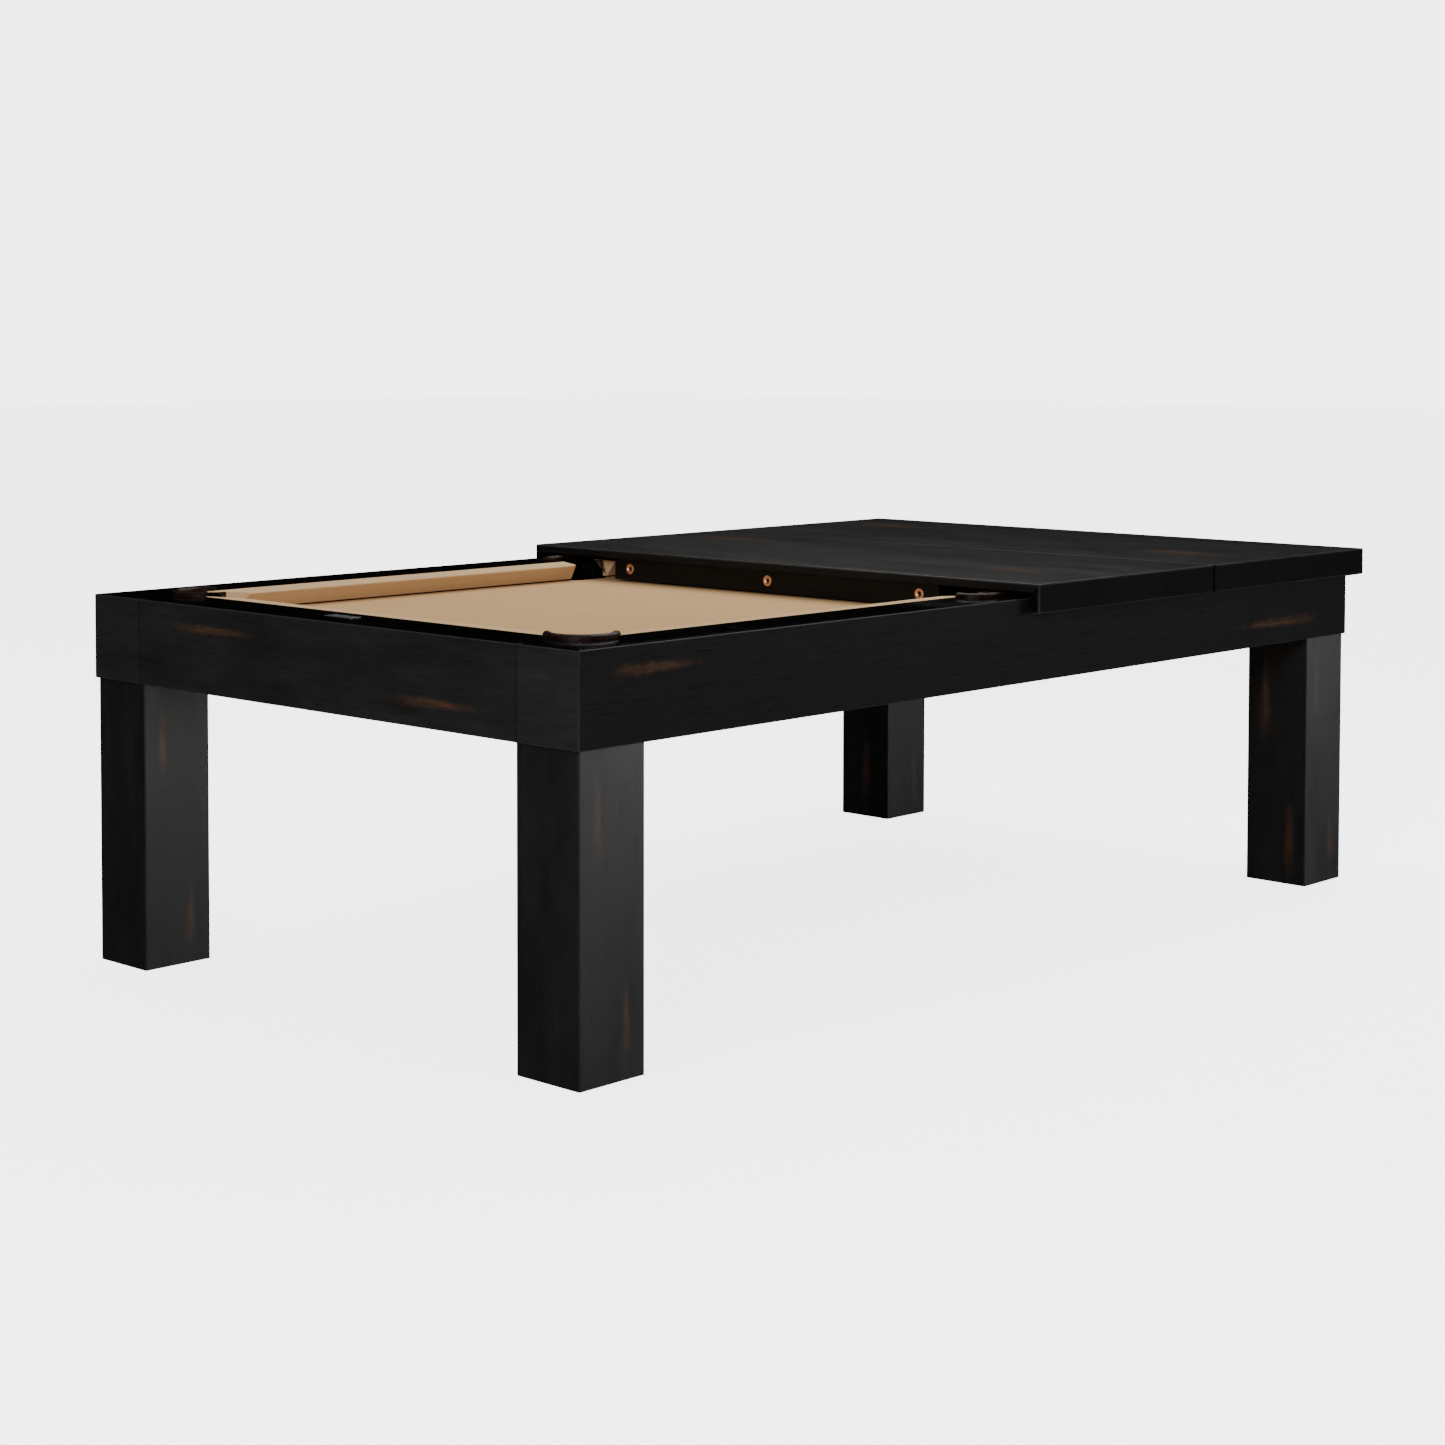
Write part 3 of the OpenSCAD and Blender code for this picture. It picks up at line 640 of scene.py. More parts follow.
@once
def stained_wood(
    name, look, grain, tone=1.0, streaks=(), strips=None, gloss=0.3, rough=0.44, wear=1.0, relief=0.0002
):
    """Black stained wood. streaks are (centre, radii, tail direction, strength)."""
    made, tree, shader, place = new_material(name)
    figure = use(tree, grain_group(), Vector=place, Stretch=ALONG[grain])
    stain = plain(tree, [c * tone for c in look.stain])
    stain = shade(tree, figure["Fibre"], look.fibre * 6, stain)
    stain = shade(tree, figure["Mottle"], look.mottle * 4, stain)
    stain = blend(tree, times(tree, figure["Pores"], 0.4), stain, PORE)
    if strips:
        glued = use(tree, strips_group(), Vector=place, Across=strips, Width=look.strip)
        stain = shade(tree, glued["Tone"], 0.42, stain)
        stain = blend(tree, times(tree, glued["Joint"], 0.35), stain, PORE)
    edges = use(tree, edge_light_and_wear_group(), Vector=place, Amount=wear)
    # Worn edges: partly wear, partly a painted highlight.
    stain = blend(tree, edges["Mask"], stain, tuple(look.pale))
    mask = None
    for centre, radii, tail, strength in streaks:
        where = {"Vector": place, "Centre": centre, "Radii": radii, "Tail": tail}
        rubbed = use(tree, rub_group(), **where, Fibre=figure["Fibre"], Strength=strength)["Mask"]
        mask = rubbed if mask is None else maths(tree, "MAXIMUM", mask, rubbed)
    if mask is not None:
        stain = blend(tree, mask, stain, shade(tree, figure["Fibre"], 2.5, tuple(look.bare)))
    # Painted shadow in the seams.
    stain = blend(tree, edges["Seam"], stain, SEAM_SHADOW)
    uneven = swing(tree, figure["Mottle"], 0.6 * rough, rough)
    uneven = maths(tree, "MULTIPLY_ADD", figure["Pores"], 0.45 * rough, uneven)
    surface(tree, shader, stain, uneven, gloss)
    height = maths(tree, "SUBTRACT", figure["Fibre"], times(tree, figure["Pores"], 0.6))
    bump(tree, shader, height, 0.25, relief)
    return made


@once
def bare_wood(name, look, grain):
    """Unfinished softwood or plywood."""
    made, tree, shader, place = new_material(name)
    figure = use(tree, grain_group(), Vector=place, Stretch=ALONG[grain], Fineness=380.0)
    tint = shade(tree, figure["Fibre"], 1.6, tuple(look.unfinished))
    tint = shade(tree, figure["Mottle"], 0.7, tint)
    tint = blend(tree, times(tree, figure["Pores"], 0.5), tint, (0.2, 0.11, 0.05))
    surface(tree, shader, tint, spread(tree, figure["Fibre"], 0.3, 0.7, 0.6, 0.8), 0.5)
    bump(tree, shader, figure["Fibre"], 0.3, 0.0004)
    return made


@once
def cloth(name, look, dye):
    """Worsted billiard cloth."""
    made, tree, shader, place = new_material(name)
    weave = use(tree, weave_group(), Vector=place, Thread=look.thread)
    tint = shade(tree, maths(tree, "ADD", weave["Tone"], 0.5), 1.0, plain(tree, dye))
    surface(tree, shader, tint, spread(tree, weave["Height"], 0.2, 0.9, 0.82, 0.95), 0.05)
    shader.inputs["Sheen Weight"].default_value = 0.04
    shader.inputs["Sheen Roughness"].default_value = 0.45
    shader.inputs["Sheen Tint"].default_value = (*[min(1.0, c * 1.5) for c in dye], 1)
    bump(tree, shader, weave["Height"], 0.35, 0.0003)
    return made


@once
def leather(name, look, dark=1.0, top=None):
    """Glossy brown leather, rubbed lighter in places, with painted shade that turns it black below the roll
    when top is given.
    """
    made, tree, shader, place = new_material(name)
    skin = use(tree, hide_group(), Vector=place)
    # A dark below one dims the hide and rim and takes away the gloss: a painted shade for the cups deep in
    # the pockets.
    hide = tuple(c * dark for c in look.hide)
    rim = tuple(c * dark for c in look.rim)
    tint = blend(tree, times(tree, skin["Dye"], 0.55), hide, rim)
    rough = spread(tree, skin["Height"], 0.3, 1.6, 0.14, 0.08)
    if top is not None:
        parts = add(tree, "ShaderNodeSeparateXYZ")
        feed(tree, parts.inputs[0], place)
        # Painted shade: below the roll the leather fades to near black and turns rougher.
        roll_foot, roll_side = top - 0.014, top - 0.006
        lit = spread(tree, parts.outputs[2], roll_foot, roll_side)
        tint = blend(tree, lit, (0.0008, 0.0006, 0.0005), tint)
        rough = maths(tree, "MULTIPLY_ADD", maths(tree, "SUBTRACT", 1.0, lit), 0.6, rough)
    surface(tree, shader, tint, rough, 0.09 if dark == 1.0 else 0.0)
    bump(tree, shader, skin["Height"], 0.35, 0.0004)
    return made


@once
def metal(name, tint, rough, stretch=(1, 1, 1), smudge=0.25):
    """Plain metal with scratches and smudges."""
    made, tree, shader, place = new_material(name)
    marks = use(tree, brushed_group(), Vector=place, Stretch=stretch)
    uneven = swing(tree, marks["Smudges"], 0.3, rough)
    uneven = swing(tree, marks["Scratches"], 0.2, uneven)
    surface(tree, shader, shade(tree, marks["Smudges"], smudge * 2, plain(tree, tint)), uneven, 0.5)
    shader.inputs["Metallic"].default_value = 1.0
    bump(tree, shader, marks["Scratches"], 0.15, 0.0001)
    return made


@once
def speckled(name, dark, light, scale, rough, gloss=0.4, height=0.2, depth=0.0003):
    """A stone, felt or moulded surface with a soft speckle."""
    made, tree, shader, place = new_material(name)
    fleck = clouds(tree, place, scale, 4, 0.65)
    cloud = clouds(tree, place, scale * 0.03, 3, 0.55)
    both = spread(tree, maths(tree, "ADD", fleck, cloud), 0.75, 1.25)
    uneven = spread(tree, fleck, 0.3, 0.7, rough - 0.06, rough + 0.06)
    surface(tree, shader, blend(tree, both, dark, light), uneven, gloss)
    bump(tree, shader, fleck, height, depth)
    return made


def dress(node, material):
    """A carried-over node keeps its shape and takes a finish."""
    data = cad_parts[node].data
    data.materials.clear()
    data.materials.append(material)


# ---------- pieces ----------

# A streak's reach through the wood, so that it stays on one face.
STREAK_DEPTH = 0.02


class TABLE_OT_legs(Operator):
    """Four square legs with rounded edges and upright grain"""

    bl_idname = "pocket_table.legs"
    bl_label = "Legs"

    def execute(self, context):
        look = context.scene.pocket_table.wood
        up, deep = (0, 0, 1), STREAK_DEPTH
        for corner, (along, across) in CORNERS.items():
            node = f"leg_{corner}"
            lo, hi = low(node), high(node)
            streaks = [
                ((lo.x + 0.045, lo.y, 0.480), (0.013, deep, 0.092), up, 0.75),
                ((lo.x + 0.115, lo.y, 0.105), (0.013, deep, 0.095), up, 0.75),
                ((hi.x - 0.045, hi.y, 0.480), (0.013, deep, 0.092), up, 0.75),
                ((hi.x, lo.y + 0.060, 0.150), (deep, 0.013, 0.095), up, 0.75),
            ]
            if corner == "back_right":
                streaks.append(((lo.x, lo.y + 0.078, 0.140), (deep, 0.017, 0.110), up, 0.9))
            elif along > 0:
                streaks.append(((lo.x, hi.y - 0.049, 0.452), (deep, 0.016, 0.115), up, 0.9))
                streaks.append(((lo.x, lo.y + 0.044, 0.120), (deep, 0.016, 0.115), up, 0.9))
            material = stained_wood(
                f"leg wood {corner}", look, "z", 0.8, streaks, gloss=0.55, rough=0.42, wear=0.8
            )
            finish_piece(copied(node, look.arris), node, material)
        return {"FINISHED"}


def lacquer_top(piece, material):
    """Gives the top edge of a board the rails' lacquer."""
    piece.data.materials.append(material)
    for face in piece.data.polygons:
        if face.normal.z > 0.6 and face.center.z > Places.rail_top - 0.0015:
            face.material_index = 1


def rail_lacquer(look, grain):
    return stained_wood(
        f"rail lacquer {grain}", look, grain, 0.2, gloss=0.08, rough=0.1, wear=0.1, relief=0.00001
    )


class TABLE_OT_cabinet(Operator):
    """Aprons and corner returns, mitred at the corners"""

    bl_idname = "pocket_table.cabinet"
    bl_label = "Cabinet"

    def execute(self, context):
        look = context.scene.pocket_table.wood
        p = Places
        deep = STREAK_DEPTH
        side_streaks = [
            ((-1.12, p.front, 0.737), (0.125, deep, 0.0125), (1, 0, 0), 0.9),
            ((0.975, p.front, 0.655), (0.20, deep, 0.0135), (-1, 0, 0), 0.9),
            ((1.09, p.back, 0.735), (0.125, deep, 0.0125), (-1, 0, 0), 0.9),
            ((-0.99, p.back, 0.655), (0.20, deep, 0.0135), (1, 0, 0), 0.9),
        ]
        end_streaks = []
        for face, way in ((p.left, -1), (p.right, 1)):
            end_streaks.append(((face, -0.325 * way, 0.735), (deep, 0.150, 0.011), (0, way, 0), 1.0))
            end_streaks.append(((face, 0.365 * way, 0.653), (deep, 0.135, 0.011), (0, way, 0), 1.0))
        # Painted light and shade: one stain takes a tone by the way its boards face, darker on the front and
        # back aprons, lighter on the end aprons and lighter still on the corner returns.
        side = stained_wood("side apron wood painted darker", look, "x", 0.66, side_streaks, gloss=0.05, rough=0.5)
        end = stained_wood("end apron wood painted lighter", look, "y", 1.2, end_streaks, gloss=0.12, rough=0.5)
        corner_wood = stained_wood("corner return wood painted lighter", look, "y", 1.4, gloss=0.12, rough=0.5)

        def board(node, cuts, seam, material, grain):
            """One board of the cabinet, with the rails' lacquer on its top edge."""
            lo, hi = (p.left, p.front, p.cabinet_foot), (p.right, p.back, p.rail_top)
            bm = carved(lo, hi, look.arris, cuts, seam)
            lacquer_top(finish_piece(bm, node, material), rail_lacquer(look, grain))

        for name, way in SIDES.items():
            face = p.front if way < 0 else p.back
            cuts = [((0, face - way * p.apron, 0), (0, -way, 0))]
            for x, turn in ((p.left, -1), (p.right, 1)):
                cuts.append(((x, face, 0), (turn, -way, 0)))
            board(f"side_apron_{name}", cuts, look.seam, side, "x")

        for corner, (along, across) in CORNERS.items():
            x = p.left if along < 0 else p.right
            y = p.front if across < 0 else p.back
            node = f"corner_return_{corner}"
            inner = high(node).y if across < 0 else low(node).y
            cuts = [
                ((x - along * p.apron, 0, 0), (-along, 0, 0)),
                ((x, y, 0), (-along, across, 0)),
                ((0, inner, 0), (0, -across, 0)),
            ]
            board(node, cuts, look.seam * 1.6, corner_wood, "y")

        for name, way in ENDS.items():
            node = f"end_apron_{name}"
            face = p.left if way < 0 else p.right
            cuts = [
                ((face - way * p.apron, 0, 0), (-way, 0, 0)),
                ((0, low(node).y, 0), (0, -1, 0)),
                ((0, high(node).y, 0), (0, 1, 0)),
            ]
            board(node, cuts, look.seam * 1.6, end, "y")
        return {"FINISHED"}


class TABLE_OT_rails(Operator):
    """Six lacquered rails"""

    bl_idname = "pocket_table.rails"
    bl_label = "Rails"

    def execute(self, context):
        look = context.scene.pocket_table.wood
        for name in [*CORNERS, *ENDS]:
            node = f"rail_{name}"
            material = rail_lacquer(look, "x" if name in CORNERS else "y")
            finish_piece(copied(node, 0.0006, least=0.05, segments=2), node, material)
        return {"FINISHED"}


class TABLE_OT_cushions(Operator):
    """Six rubber cushions wrapped tightly in cloth"""

    bl_idname = "pocket_table.cushions"
    bl_label = "Cushions"

    def execute(self, context):
        look = context.scene.pocket_table.cloth
        # The cushions take the lighter cushion dye: painted light on the same cloth as the bed.
        material = cloth("cushion cloth", look, look.cushion)
        for name in [*CORNERS, *ENDS]:
            node = f"cushion_{name}"
            lo, hi = low(node), high(node)
            bm = copied(node, look.nose, angle=16, least=0.0, segments=3)
            cut_cloth(bm, lo, hi, 0 if hi.x - lo.x > hi.y - lo.y else 1)
            for vert in bm.verts:
                sway = noise.noise(Vector((vert.co.x * 9, vert.co.y * 9, vert.co.z * 30)))
                if min(*(vert.co - lo), *(hi - vert.co)) > look.ripple * 2:
                    vert.co.z += look.ripple * sway
            finish_piece(bm, node, material)
        return {"FINISHED"}


def cut_cloth(bm, lo, hi, axis, step=0.02):
    """Slices a long piece across, so that its cloth can wander a little."""
    count = int((hi[axis] - lo[axis]) / step)
    across = Vector((1, 0, 0)) if axis == 0 else Vector((0, 1, 0))
    for i in range(1, count):
        place = lo.copy()
        place[axis] += i * (hi[axis] - lo[axis]) / count
        slice_at(bm, place, across, clear=False, snap=1e-5)


class TABLE_OT_bed(Operator):
    """Bed cloth stretched over three slates"""

    bl_idname = "pocket_table.bed"
    bl_label = "Bed"

    def execute(self, context):
        look = context.scene.pocket_table.cloth
        node = "bed_cloth"
        bm = copied(node, 0.0004, least=0.0, segments=2)
        top = round(sum(f.calc_area() for f in bm.faces if f.normal.z > 0.9), 4)
        piece = finish_piece(bm, node, cloth("bed cloth", look, look.dye))
        slates = ["slate_left", "slate_middle", "slate_right"]
        stone = speckled("honed slate", (0.045, 0.050, 0.055), (0.095, 0.100, 0.105), 900.0, 0.62)
        for slate in slates:
            dress(slate, stone)
        return {"FINISHED"}


def roll_section(bm, look, centre, radius, degrees):
    """A trim's section at a bearing round a centre: a round roll on a thinner skirt down to the bed."""
    steps, gap, bearing = 18, 28, math.radians(degrees)
    outline = []
    for i in range(steps + 1):
        angle = math.radians(90 + gap + (360 - 2 * gap) * i / steps)
        outline.append((look.roll * math.sin(angle), Places.rail_top - look.roll * math.cos(angle)))
    outline += [(-look.neck, Places.bed), (look.neck, Places.bed)]
    ray = Vector((math.cos(bearing), math.sin(bearing), 0))
    verts = [bm.verts.new(Vector((*centre, z)) + ray * (radius + away)) for away, z in outline]
    return [bm.edges.new((verts[i], verts[(i + 1) % len(verts)])) for i in range(len(verts))]


class TABLE_OT_pockets(Operator):
    """Leather trims round the six pockets, and the cups below them"""

    bl_idname = "pocket_table.pockets"
    bl_label = "Pockets"

    def execute(self, context):
        look = context.scene.pocket_table.leather
        material = leather("pocket leather", look, top=Places.rail_top)
        clear = 0.0003
        wood_edge = low("cushion_left").x - Places.left - clear
        for corner in CORNERS:
            bm = bmesh.new()
            middle = (look.centre, look.centre)
            sweep(bm, roll_section(bm, look, middle, look.radius, -25), middle, -220, 74)
            bmesh.ops.remove_doubles(bm, verts=bm.verts, dist=SAME)
            for axis, outward in ((0, (0, 1, 0)), (1, (1, 0, 0))):
                trim_end(bm, middle, (wood_edge, wood_edge, 0), outward, axis)
            close_roll(bm)
            gather(bm, look, middle)
            bmesh.ops.transform(bm, matrix=corner_place(corner), verts=bm.verts)
            finish_piece(bm, f"pocket_trim_{corner}", material)
        for name, way in SIDES.items():
            bm = bmesh.new()
            first, last = (look.reach, look.depth), (-look.reach, look.depth)
            edges = sweep(bm, roll_section(bm, look, first, look.turn, 45), first, -135, 40)
            moved = bmesh.ops.extrude_edge_only(bm, edges=edges)["geom"]
            far = {g for g in moved if isinstance(g, bmesh.types.BMVert)}
            bmesh.ops.translate(bm, verts=list(far), vec=(-2 * look.reach, 0, 0))
            sweep(bm, [e for e in only_edges(moved) if far.issuperset(e.verts)], last, -135, 40)
            bmesh.ops.remove_doubles(bm, verts=bm.verts, dist=SAME)
            slice_at(bm, (0, wood_edge, 0), (0, 1, 0), snap=1e-7)
            close_roll(bm)
            gather(bm, look, (0, look.depth))
            face = Places.front if way < 0 else Places.back
            centre = Matrix.Translation(((Places.left + Places.right) / 2, face, 0))
            bmesh.ops.transform(bm, matrix=centre @ Matrix.Diagonal((1, -way, 1, 1)), verts=bm.verts)
            finish_piece(bm, f"pocket_trim_{name}", material)
        # The cups are the leather dimmed to near black without gloss: painted shade inside the pockets.
        cup = leather("pocket cup leather in painted shade", look, 0.15)
        for node in ("corner_liners_front", "corner_liners_back", "side_pocket_liners"):
            dress(node, cup)
        return {"FINISHED"}


def trim_end(bm, centre, point, outward, axis):
    """Cuts one end of a swept ring along a plane; axis tells which side of the ring the end is on."""

    def at_end(vert):
        away = (vert.co.x - centre[0], vert.co.y - centre[1])
        ahead = away[axis] > 0 and -math.radians(55) < math.atan2(away[1 - axis], away[axis])
        return ahead and away[0] * away[1] < 0

    verts = {v for v in bm.verts if at_end(v)}
    edges = [e for e in bm.edges if verts.issuperset(e.verts)]
    faces = [f for f in bm.faces if verts.issuperset(f.verts)]
    slice_at(bm, point, outward, [*verts, *edges, *faces], snap=1e-7)


def sweep(bm, edges, centre, degrees, steps):
    """Spins open edges about an upright axis and returns the last ring of edges."""
    made = bmesh.ops.spin(
        bm,
        geom=list({v for e in edges for v in e.verts}) + edges,
        cent=(*centre, 0),
        axis=(0, 0, 1),
        dvec=(0, 0, 0),
        angle=math.radians(degrees),
        steps=steps,
        use_merge=False,
        use_duplicate=False,
    )
    return only_edges(made["geom_last"])


def close_roll(bm):
    """Merges a swept roll, closes its two ends and rounds them."""
    bmesh.ops.remove_doubles(bm, verts=bm.verts, dist=SAME)
    rims = [e for e in bm.edges if e.is_boundary]
    caps = bmesh.ops.holes_fill(bm, edges=rims, sides=0)["faces"]
    bmesh.ops.recalc_face_normals(bm, faces=bm.faces)
    bevel(bm, list({e for f in caps for e in f.edges}), 0.0042, 4)


def gather(bm, look, centre):
    """Small gathers across the leather of a roll, round its pocket's middle."""
    roll_foot = Places.rail_top - 0.012
    for vert in bm.verts:
        x, y, z = vert.co
        if z < roll_foot:
            continue
        angle = math.atan2(y - centre[1], x - centre[0])
        fold = math.sin(angle * look.gathers + 2.0 * noise.noise(Vector((x * 60, y * 60, 0))))
        swell = noise.noise(Vector((x * 45, y * 45, z * 45)))
        vert.co.z += look.wrinkle * (0.35 * fold + 0.6 * swell - 0.4)


def shade_seam(bm, place):
    """Darkens the rounded edges where the two leaves meet."""
    wear_and_light_marks = bm.faces.layers.float["wear_and_light_marks"]
    for face in bm.faces:
        if abs(face.calc_center_median().x - place) < 0.006:
            face[wear_and_light_marks] = -1.0
    return bm


class TABLE_OT_leaves(Operator):
    """Panels and skirts of the two dining leaves, mitred so that the grain folds over the edge"""

    bl_idname = "pocket_table.leaves"
    bl_label = "Dining leaves"

    def execute(self, context):
        look = context.scene.pocket_table.wood
        p = Places
        deep = 0.03
        top_streaks = [
            ((x, y, p.leaf_top), (wide, long, deep), (0, -1, 0), 0.62)
            for x, y, wide, long in (
                (0.47, 0.545, 0.052, 0.170),
                (0.215, -0.545, 0.050, 0.135),
                (1.10, 0.540, 0.052, 0.165),
                (0.885, -0.530, 0.050, 0.145),
            )
        ]
        across = (1, 0, 0)
        panel = stained_wood(
            "leaf panel wood", look, "y", 0.85, top_streaks, across, gloss=0.1, rough=0.36, relief=0.00007
        )
        skirt = stained_wood("leaf skirt wood", look, "z", 0.34, (), across, gloss=0.02, wear=0.8)
        end_skirt = stained_wood("leaf end skirt wood", look, "y", 0.6, (), None, gloss=0.06, wear=0.8)
        thick = p.leaf_top - p.panel_foot
        panel_cuts = [((0, w * p.leaf_back, p.leaf_top), (0, w * thick, -p.skirt)) for w in (-1, 1)]
        panel_cuts.append(((0, 0, p.panel_foot), (0, 0, -1)))
        end_mitre = ((p.end_right, 0, p.leaf_top), (thick, 0, -p.skirt))

        def board(cuts):
            lo, hi = (left, p.leaf_front, p.skirt_foot), (right, p.leaf_back, p.leaf_top)
            return shade_seam(carved(lo, hi, look.leaf_arris, cuts, look.seam * 0.5), p.end_left)

        for leaf, left, right in (
            ("middle_leaf", p.middle_left, p.middle_right),
            ("end_leaf", p.end_left, p.end_right),
        ):
            last = leaf == "end_leaf"
            cuts = panel_cuts + ([end_mitre] if last else [])
            finish_piece(board(cuts), f"{leaf}_panel", panel, leaf)

            both = []
            for way in (-1, 1):
                cuts = [
                    ((0, way * p.leaf_back, p.leaf_top), (0, -way * thick, p.skirt)),
                    ((0, way * (p.leaf_back - p.skirt), 0), (0, -way, 0)),
                ]
                if last:
                    cuts.append(((p.end_right, way * p.leaf_back, 0), (1, -way, 0)))
                both.append(board(cuts))
            node = "end_leaf_side_skirts" if last else "middle_leaf_skirts"
            finish_piece(several(both), node, skirt, leaf)

            if last:
                cuts = [
                    ((p.end_right, 0, p.leaf_top), (-thick, 0, p.skirt)),
                    ((p.end_right - p.skirt, 0, 0), (-1, 0, 0)),
                    ((p.end_right, p.leaf_back, 0), (-1, 1, 0)),
                    ((p.end_right, p.leaf_front, 0), (-1, -1, 0)),
                ]
                finish_piece(board(cuts), "end_leaf_end_skirt", end_skirt, leaf)
        return {"FINISHED"}


class TABLE_OT_boards(Operator):
    """Cross boards and spacer pads under the leaves"""

    bl_idname = "pocket_table.boards"
    bl_label = "Boards and pads"

    def execute(self, context):
        look = context.scene.pocket_table.wood
        black = stained_wood("board paint", look, "y", 0.35, gloss=0.12, rough=0.4, wear=0.4)
        for node, body in (("middle_leaf_boards", "middle_leaf"), ("end_leaf_board", "end_leaf")):
            finish_piece(copied(node, 0.0015, least=0.02), node, black, body)
        felt = speckled("spacer felt", (0.006,) * 3, (0.02,) * 3, 2200.0, 0.92, 0.1, 0.5)
        for node, body in (("middle_leaf_pads", "middle_leaf"), ("end_leaf_pads", "end_leaf")):
            finish_piece(copied(node, 0.0016, least=0.005), node, felt, body)
        return {"FINISHED"}


def turned(profile, place, steps=40):
    """A turned part: (distance along -X, radius) pairs spun about an axis along X."""
    bm = bmesh.new()
    verts = [bm.verts.new((place[0] - a, place[1], place[2] + r)) for a, r in profile]
    edges = [bm.edges.new(pair) for pair in zip(verts, verts[1:])]
    bmesh.ops.spin(
        bm,
        geom=verts + edges,
        cent=place,
        axis=(1, 0, 0),
        dvec=(0, 0, 0),
        angle=math.radians(360),
        steps=steps,
        use_merge=True,
        use_duplicate=False,
    )
    bmesh.ops.remove_doubles(bm, verts=bm.verts, dist=SAME)
    return bm


class TABLE_OT_fittings(Operator):
    """Flanged sockets and locating pins of the leaves"""

    bl_idname = "pocket_table.fittings"
    bl_label = "Sockets and pins"

    def execute(self, context):
        look = context.scene.pocket_table.metal
        copper = metal("socket copper", look.copper, 0.30, (0.2, 1, 1))
        steel = metal("pin steel", look.steel, 0.25, (0.1, 1, 1))
        lo, hi = low("middle_leaf_pins"), high("middle_leaf_pins")
        radius = (hi.z - lo.z) / 2
        level = (hi.z + lo.z) / 2
        rows = (lo.y + radius, (hi.y + lo.y) / 2, hi.y - radius)
        bore, sleeve, rim = radius + 0.00015, radius + 0.003, look.flange
        for node, body in (("middle_leaf_sockets", "middle_leaf"), ("end_leaf_sockets", "end_leaf")):
            lo, hi = low(node), high(node)
            back = lo.x - hi.x
            flange = (hi.z - lo.z) / 2
            profile = [
                (back, bore),
                (-0.003, bore),
                (-0.0012, bore + 0.0016),
                (-0.0004, bore + 0.0030),
                (0.0, bore + 0.0036),
                (0.0, flange - 3 * rim),
                (-0.3 * rim, flange - rim),
                (-rim, flange - 0.3 * rim),
                (-3 * rim, flange),
                (-0.0015, flange),
                (-0.0015, sleeve),
                (back, sleeve),
                (back, bore),
            ]
            bm = several([turned(profile, (lo.x, y, level)) for y in rows])
            finish_piece(bm, node, copper, body)
        node = "middle_leaf_pins"
        tail = low(node).x
        tip = tail - high(node).x
        profile = [
            (tip, 0.0),
            (tip, radius - 0.0022),
            (tip + 0.0004, radius - 0.0012),
            (tip + 0.0022, radius - 0.0001),
            (tip + 0.0030, radius),
            (0.0, radius),
            (0.0, 0.0),
        ]
        bm = several([turned(profile, (tail, y, level)) for y in rows])
        finish_piece(bm, node, steel, "middle_leaf")
        return {"FINISHED"}


class TABLE_OT_inlays(Operator):
    """Sights let into the rails and the plain plate on the end rail"""

    bl_idname = "pocket_table.inlays"
    bl_label = "Sights and plate"

    def execute(self, context):
        look = context.scene.pocket_table.metal
        inlay = speckled("sight inlay", (0.002,) * 3, (0.006,) * 3, 700.0, 0.16, 0.5, 0.05)
        dress("rail_sights", inlay)
        node = "blank_plate"
        plate = metal("plate metal", look.plate, 0.42, (1, 0.03, 1), 0.9)
        finish_piece(copied(node, 0.0004, least=0.0005, segments=2), node, plate)
        return {"FINISHED"}


class TABLE_OT_hardware(Operator):
    """Finishes of the frame inside the cabinet and of its bolts"""

    bl_idname = "pocket_table.hardware"
    bl_label = "Inner frame and bolts"

    def execute(self, context):
        look = context.scene.pocket_table
        for node, grain in (
            ("leg_blocks", "z"),
            ("corner_plates", "x"),
            ("side_beams", "x"),
            ("centre_beams", "x"),
            ("cross_beams", "y"),
        ):
            dress(node, bare_wood(f"unfinished wood {grain}", look.wood, grain))
        zinc = metal("zinc plating", look.metal.zinc, 0.38, (1, 1, 1), 0.5)
        for node in ("leg_bolts", "rail_bolts", "slate_screws"):
            dress(node, zinc)
        dress("leg_glides", speckled("glide nylon", (0.50, 0.49, 0.46), (0.66, 0.65, 0.62), 500.0, 0.5))
        return {"FINISHED"}


def pale_floor(look):
    """A wide floor that the camera sees as bright as the backdrop, and that glossy surfaces don't mirror."""
    bm = bmesh.new()
    bmesh.ops.create_grid(bm, x_segments=1, y_segments=1, size=40)
    mesh = bpy.data.meshes.new("floor")
    bm.to_mesh(mesh)
    bm.free()
    floor = bpy.data.objects.new("floor", mesh)
    bpy.context.scene.collection.objects.link(floor)
    made, tree, shader, place = new_material("floor paint")
    tone = spread(tree, clouds(tree, place, 0.6, 2, 0.5), 0.3, 0.7, 0.985, 1.0)
    surface(tree, shader, vectors(tree, "SCALE", plain(tree, look.floor), scale=tone), 0.9, 0.1)
    mesh.materials.append(made)
    rays = add(tree, "ShaderNodeLightPath")
    shader.inputs["Emission Color"].default_value = (1, 1, 1, 1)
    glow = times(tree, rays.outputs["Is Camera Ray"], look.backdrop * 0.8)
    tree.links.new(glow, shader.inputs["Emission Strength"])
    floor.visible_glossy = False


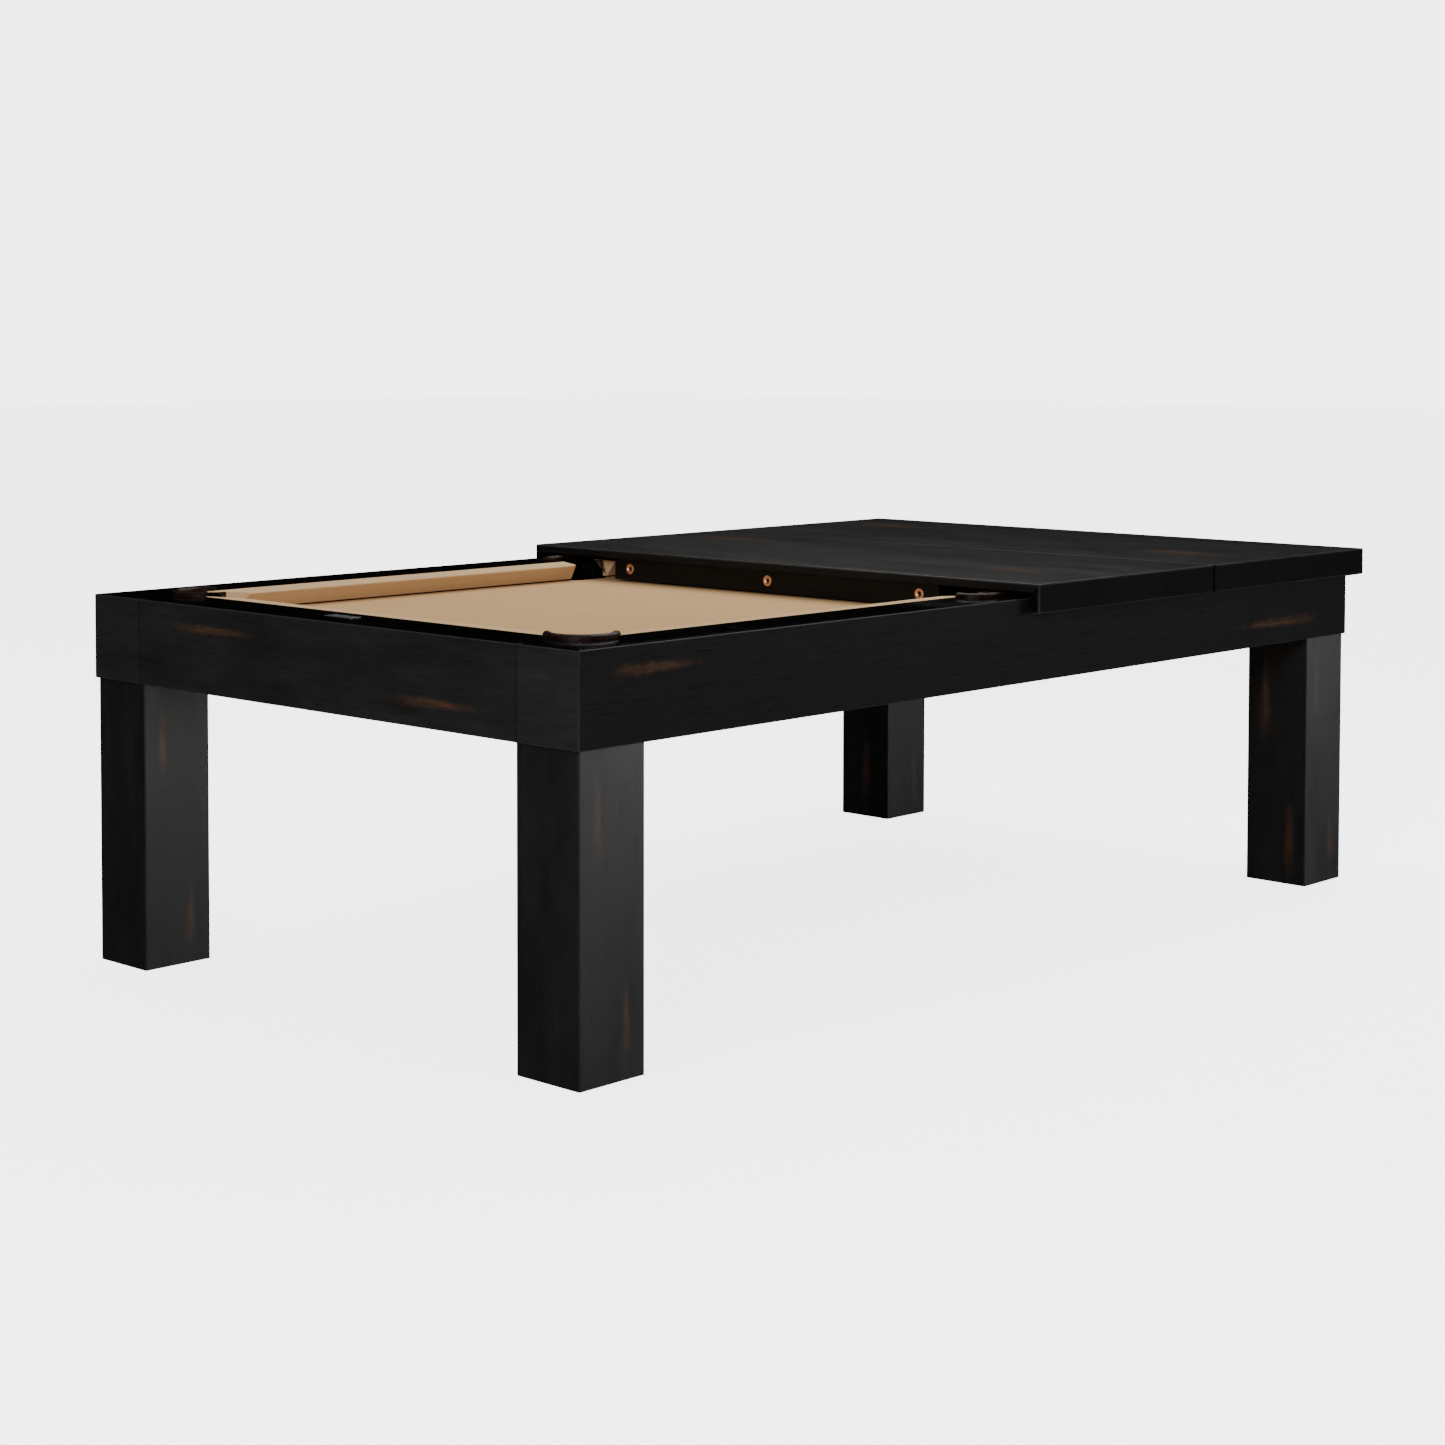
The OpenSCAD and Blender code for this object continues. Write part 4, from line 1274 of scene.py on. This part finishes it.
def studio_world(look):
    """A bright backdrop for the camera, round a sky that lights the table softly from above."""
    world = bpy.data.worlds.new("studio")
    bpy.context.scene.world = world
    world.use_nodes = True
    tree = world.node_tree
    tree.nodes.clear()
    out = add(tree, "ShaderNodeOutputWorld")
    seen = add(tree, "ShaderNodeBackground")
    lit = add(tree, "ShaderNodeBackground")
    mix = add(tree, "ShaderNodeMixShader")
    rays = add(tree, "ShaderNodeLightPath")
    seen.inputs[0].default_value = (1, 1, 1, 1)
    seen.inputs[1].default_value = look.backdrop
    parts = add(tree, "ShaderNodeSeparateXYZ")
    feed(tree, parts.inputs[0], add(tree, "ShaderNodeTexCoord").outputs["Generated"])
    height = parts.outputs[2]
    soft = spread(tree, height, 0.02, 0.75, look.sky_low, look.sky_high, smooth=True)
    mirrored = spread(tree, height, 0.12, 0.9, 0.0, look.sky_high * look.mirror, smooth=True)
    choice = add(tree, "ShaderNodeMix", data_type="FLOAT")
    tree.links.new(rays.outputs["Is Glossy Ray"], choice.inputs[0])
    tree.links.new(soft, choice.inputs[2])
    tree.links.new(mirrored, choice.inputs[3])
    tree.links.new(choice.outputs[0], lit.inputs["Strength"])
    tree.links.new(rays.outputs["Is Camera Ray"], mix.inputs[0])
    tree.links.new(lit.outputs[0], mix.inputs[1])
    tree.links.new(seen.outputs[0], mix.inputs[2])
    tree.links.new(mix.outputs[0], out.inputs[0])


def softbox(name, power, place, target, size):
    """A rectangular light that faces its target."""
    data = bpy.data.lights.new(name, "AREA")
    data.shape = "RECTANGLE"
    data.size, data.size_y = size
    data.energy = power
    lamp = bpy.data.objects.new(name, data)
    bpy.context.scene.collection.objects.link(lamp)
    aim = (Vector(target) - Vector(place)).to_track_quat("-Z", "Y")
    lamp.matrix_world = Matrix.Translation(place) @ aim.to_matrix().to_4x4()


def stand_camera(look):
    """The camera, turned by its yaw, pitch and roll."""
    level = math.cos(look.pitch)
    ahead = Vector((math.cos(look.yaw) * level, math.sin(look.yaw) * level, -math.sin(look.pitch)))
    right = ahead.cross(Vector((0, 0, 1))).normalized()
    up = right.cross(ahead)
    rolled = Matrix.Rotation(-look.roll, 3, ahead)
    data = bpy.data.cameras.new("camera")
    data.lens = look.lens
    data.sensor_width = 36
    data.shift_y = look.rise
    data.clip_start, data.clip_end = 0.05, 120
    camera = bpy.data.objects.new("camera", data)
    turn = Matrix((rolled @ right, rolled @ up, -ahead)).transposed().to_4x4()
    camera.matrix_world = Matrix.Translation(look.eye) @ turn
    bpy.context.scene.collection.objects.link(camera)
    bpy.context.scene.camera = camera


class TABLE_OT_stage(Operator):
    """Pale floor, soft lights and the camera"""

    bl_idname = "pocket_table.stage"
    bl_label = "Stage"

    def execute(self, context):
        look = context.scene.pocket_table.stage
        pale_floor(look)
        studio_world(look)
        softbox("overhead softbox", look.key, (1.3, 0.4, 3.2), (-0.2, 0, 0.7), (3.2, 2.4))
        softbox("side softbox", look.side, (4.5, -6.5, 0.7), (-0.4, -0.3, 0.35), (5.0, 1.3))
        softbox("fill softbox", look.fill, (-5.6, -3.0, 2.6), (-0.5, 0.0, 0.6), (2.4, 1.8))
        stand_camera(look)
        return {"FINISHED"}


class TABLE_PT_panel(Panel):
    """Lists the operators in the sidebar"""

    bl_idname = "TABLE_PT_panel"
    bl_label = "Pocket Table"
    bl_space_type = "VIEW_3D"
    bl_region_type = "UI"
    bl_category = "Pocket Table"

    def draw(self, context):
        for operator in OPERATORS:
            self.layout.operator(operator.bl_idname)
        look = context.scene.pocket_table
        for part in (look.wood, look.cloth, look.leather, look.metal, look.stage):
            box = self.layout.box()
            for key in part.__annotations__:
                box.prop(part, key)


OPERATORS = (
    TABLE_OT_stage,
    TABLE_OT_legs,
    TABLE_OT_cabinet,
    TABLE_OT_rails,
    TABLE_OT_cushions,
    TABLE_OT_bed,
    TABLE_OT_pockets,
    TABLE_OT_leaves,
    TABLE_OT_boards,
    TABLE_OT_fittings,
    TABLE_OT_inlays,
    TABLE_OT_hardware,
)
LOOKS = (WoodLook, ClothLook, LeatherLook, MetalLook, StageLook, TableLook)


def register():
    for made in (*LOOKS, *OPERATORS, TABLE_PT_panel):
        bpy.utils.register_class(made)
    bpy.types.Scene.pocket_table = PointerProperty(type=TableLook)


def unregister():
    del bpy.types.Scene.pocket_table
    for made in reversed((*LOOKS, *OPERATORS, TABLE_PT_panel)):
        bpy.utils.unregister_class(made)


def main():
    register()
    for operator in OPERATORS:
        section, name = operator.bl_idname.split(".")
        getattr(getattr(bpy.ops, section), name)()


if __name__ == "__main__":
    main()
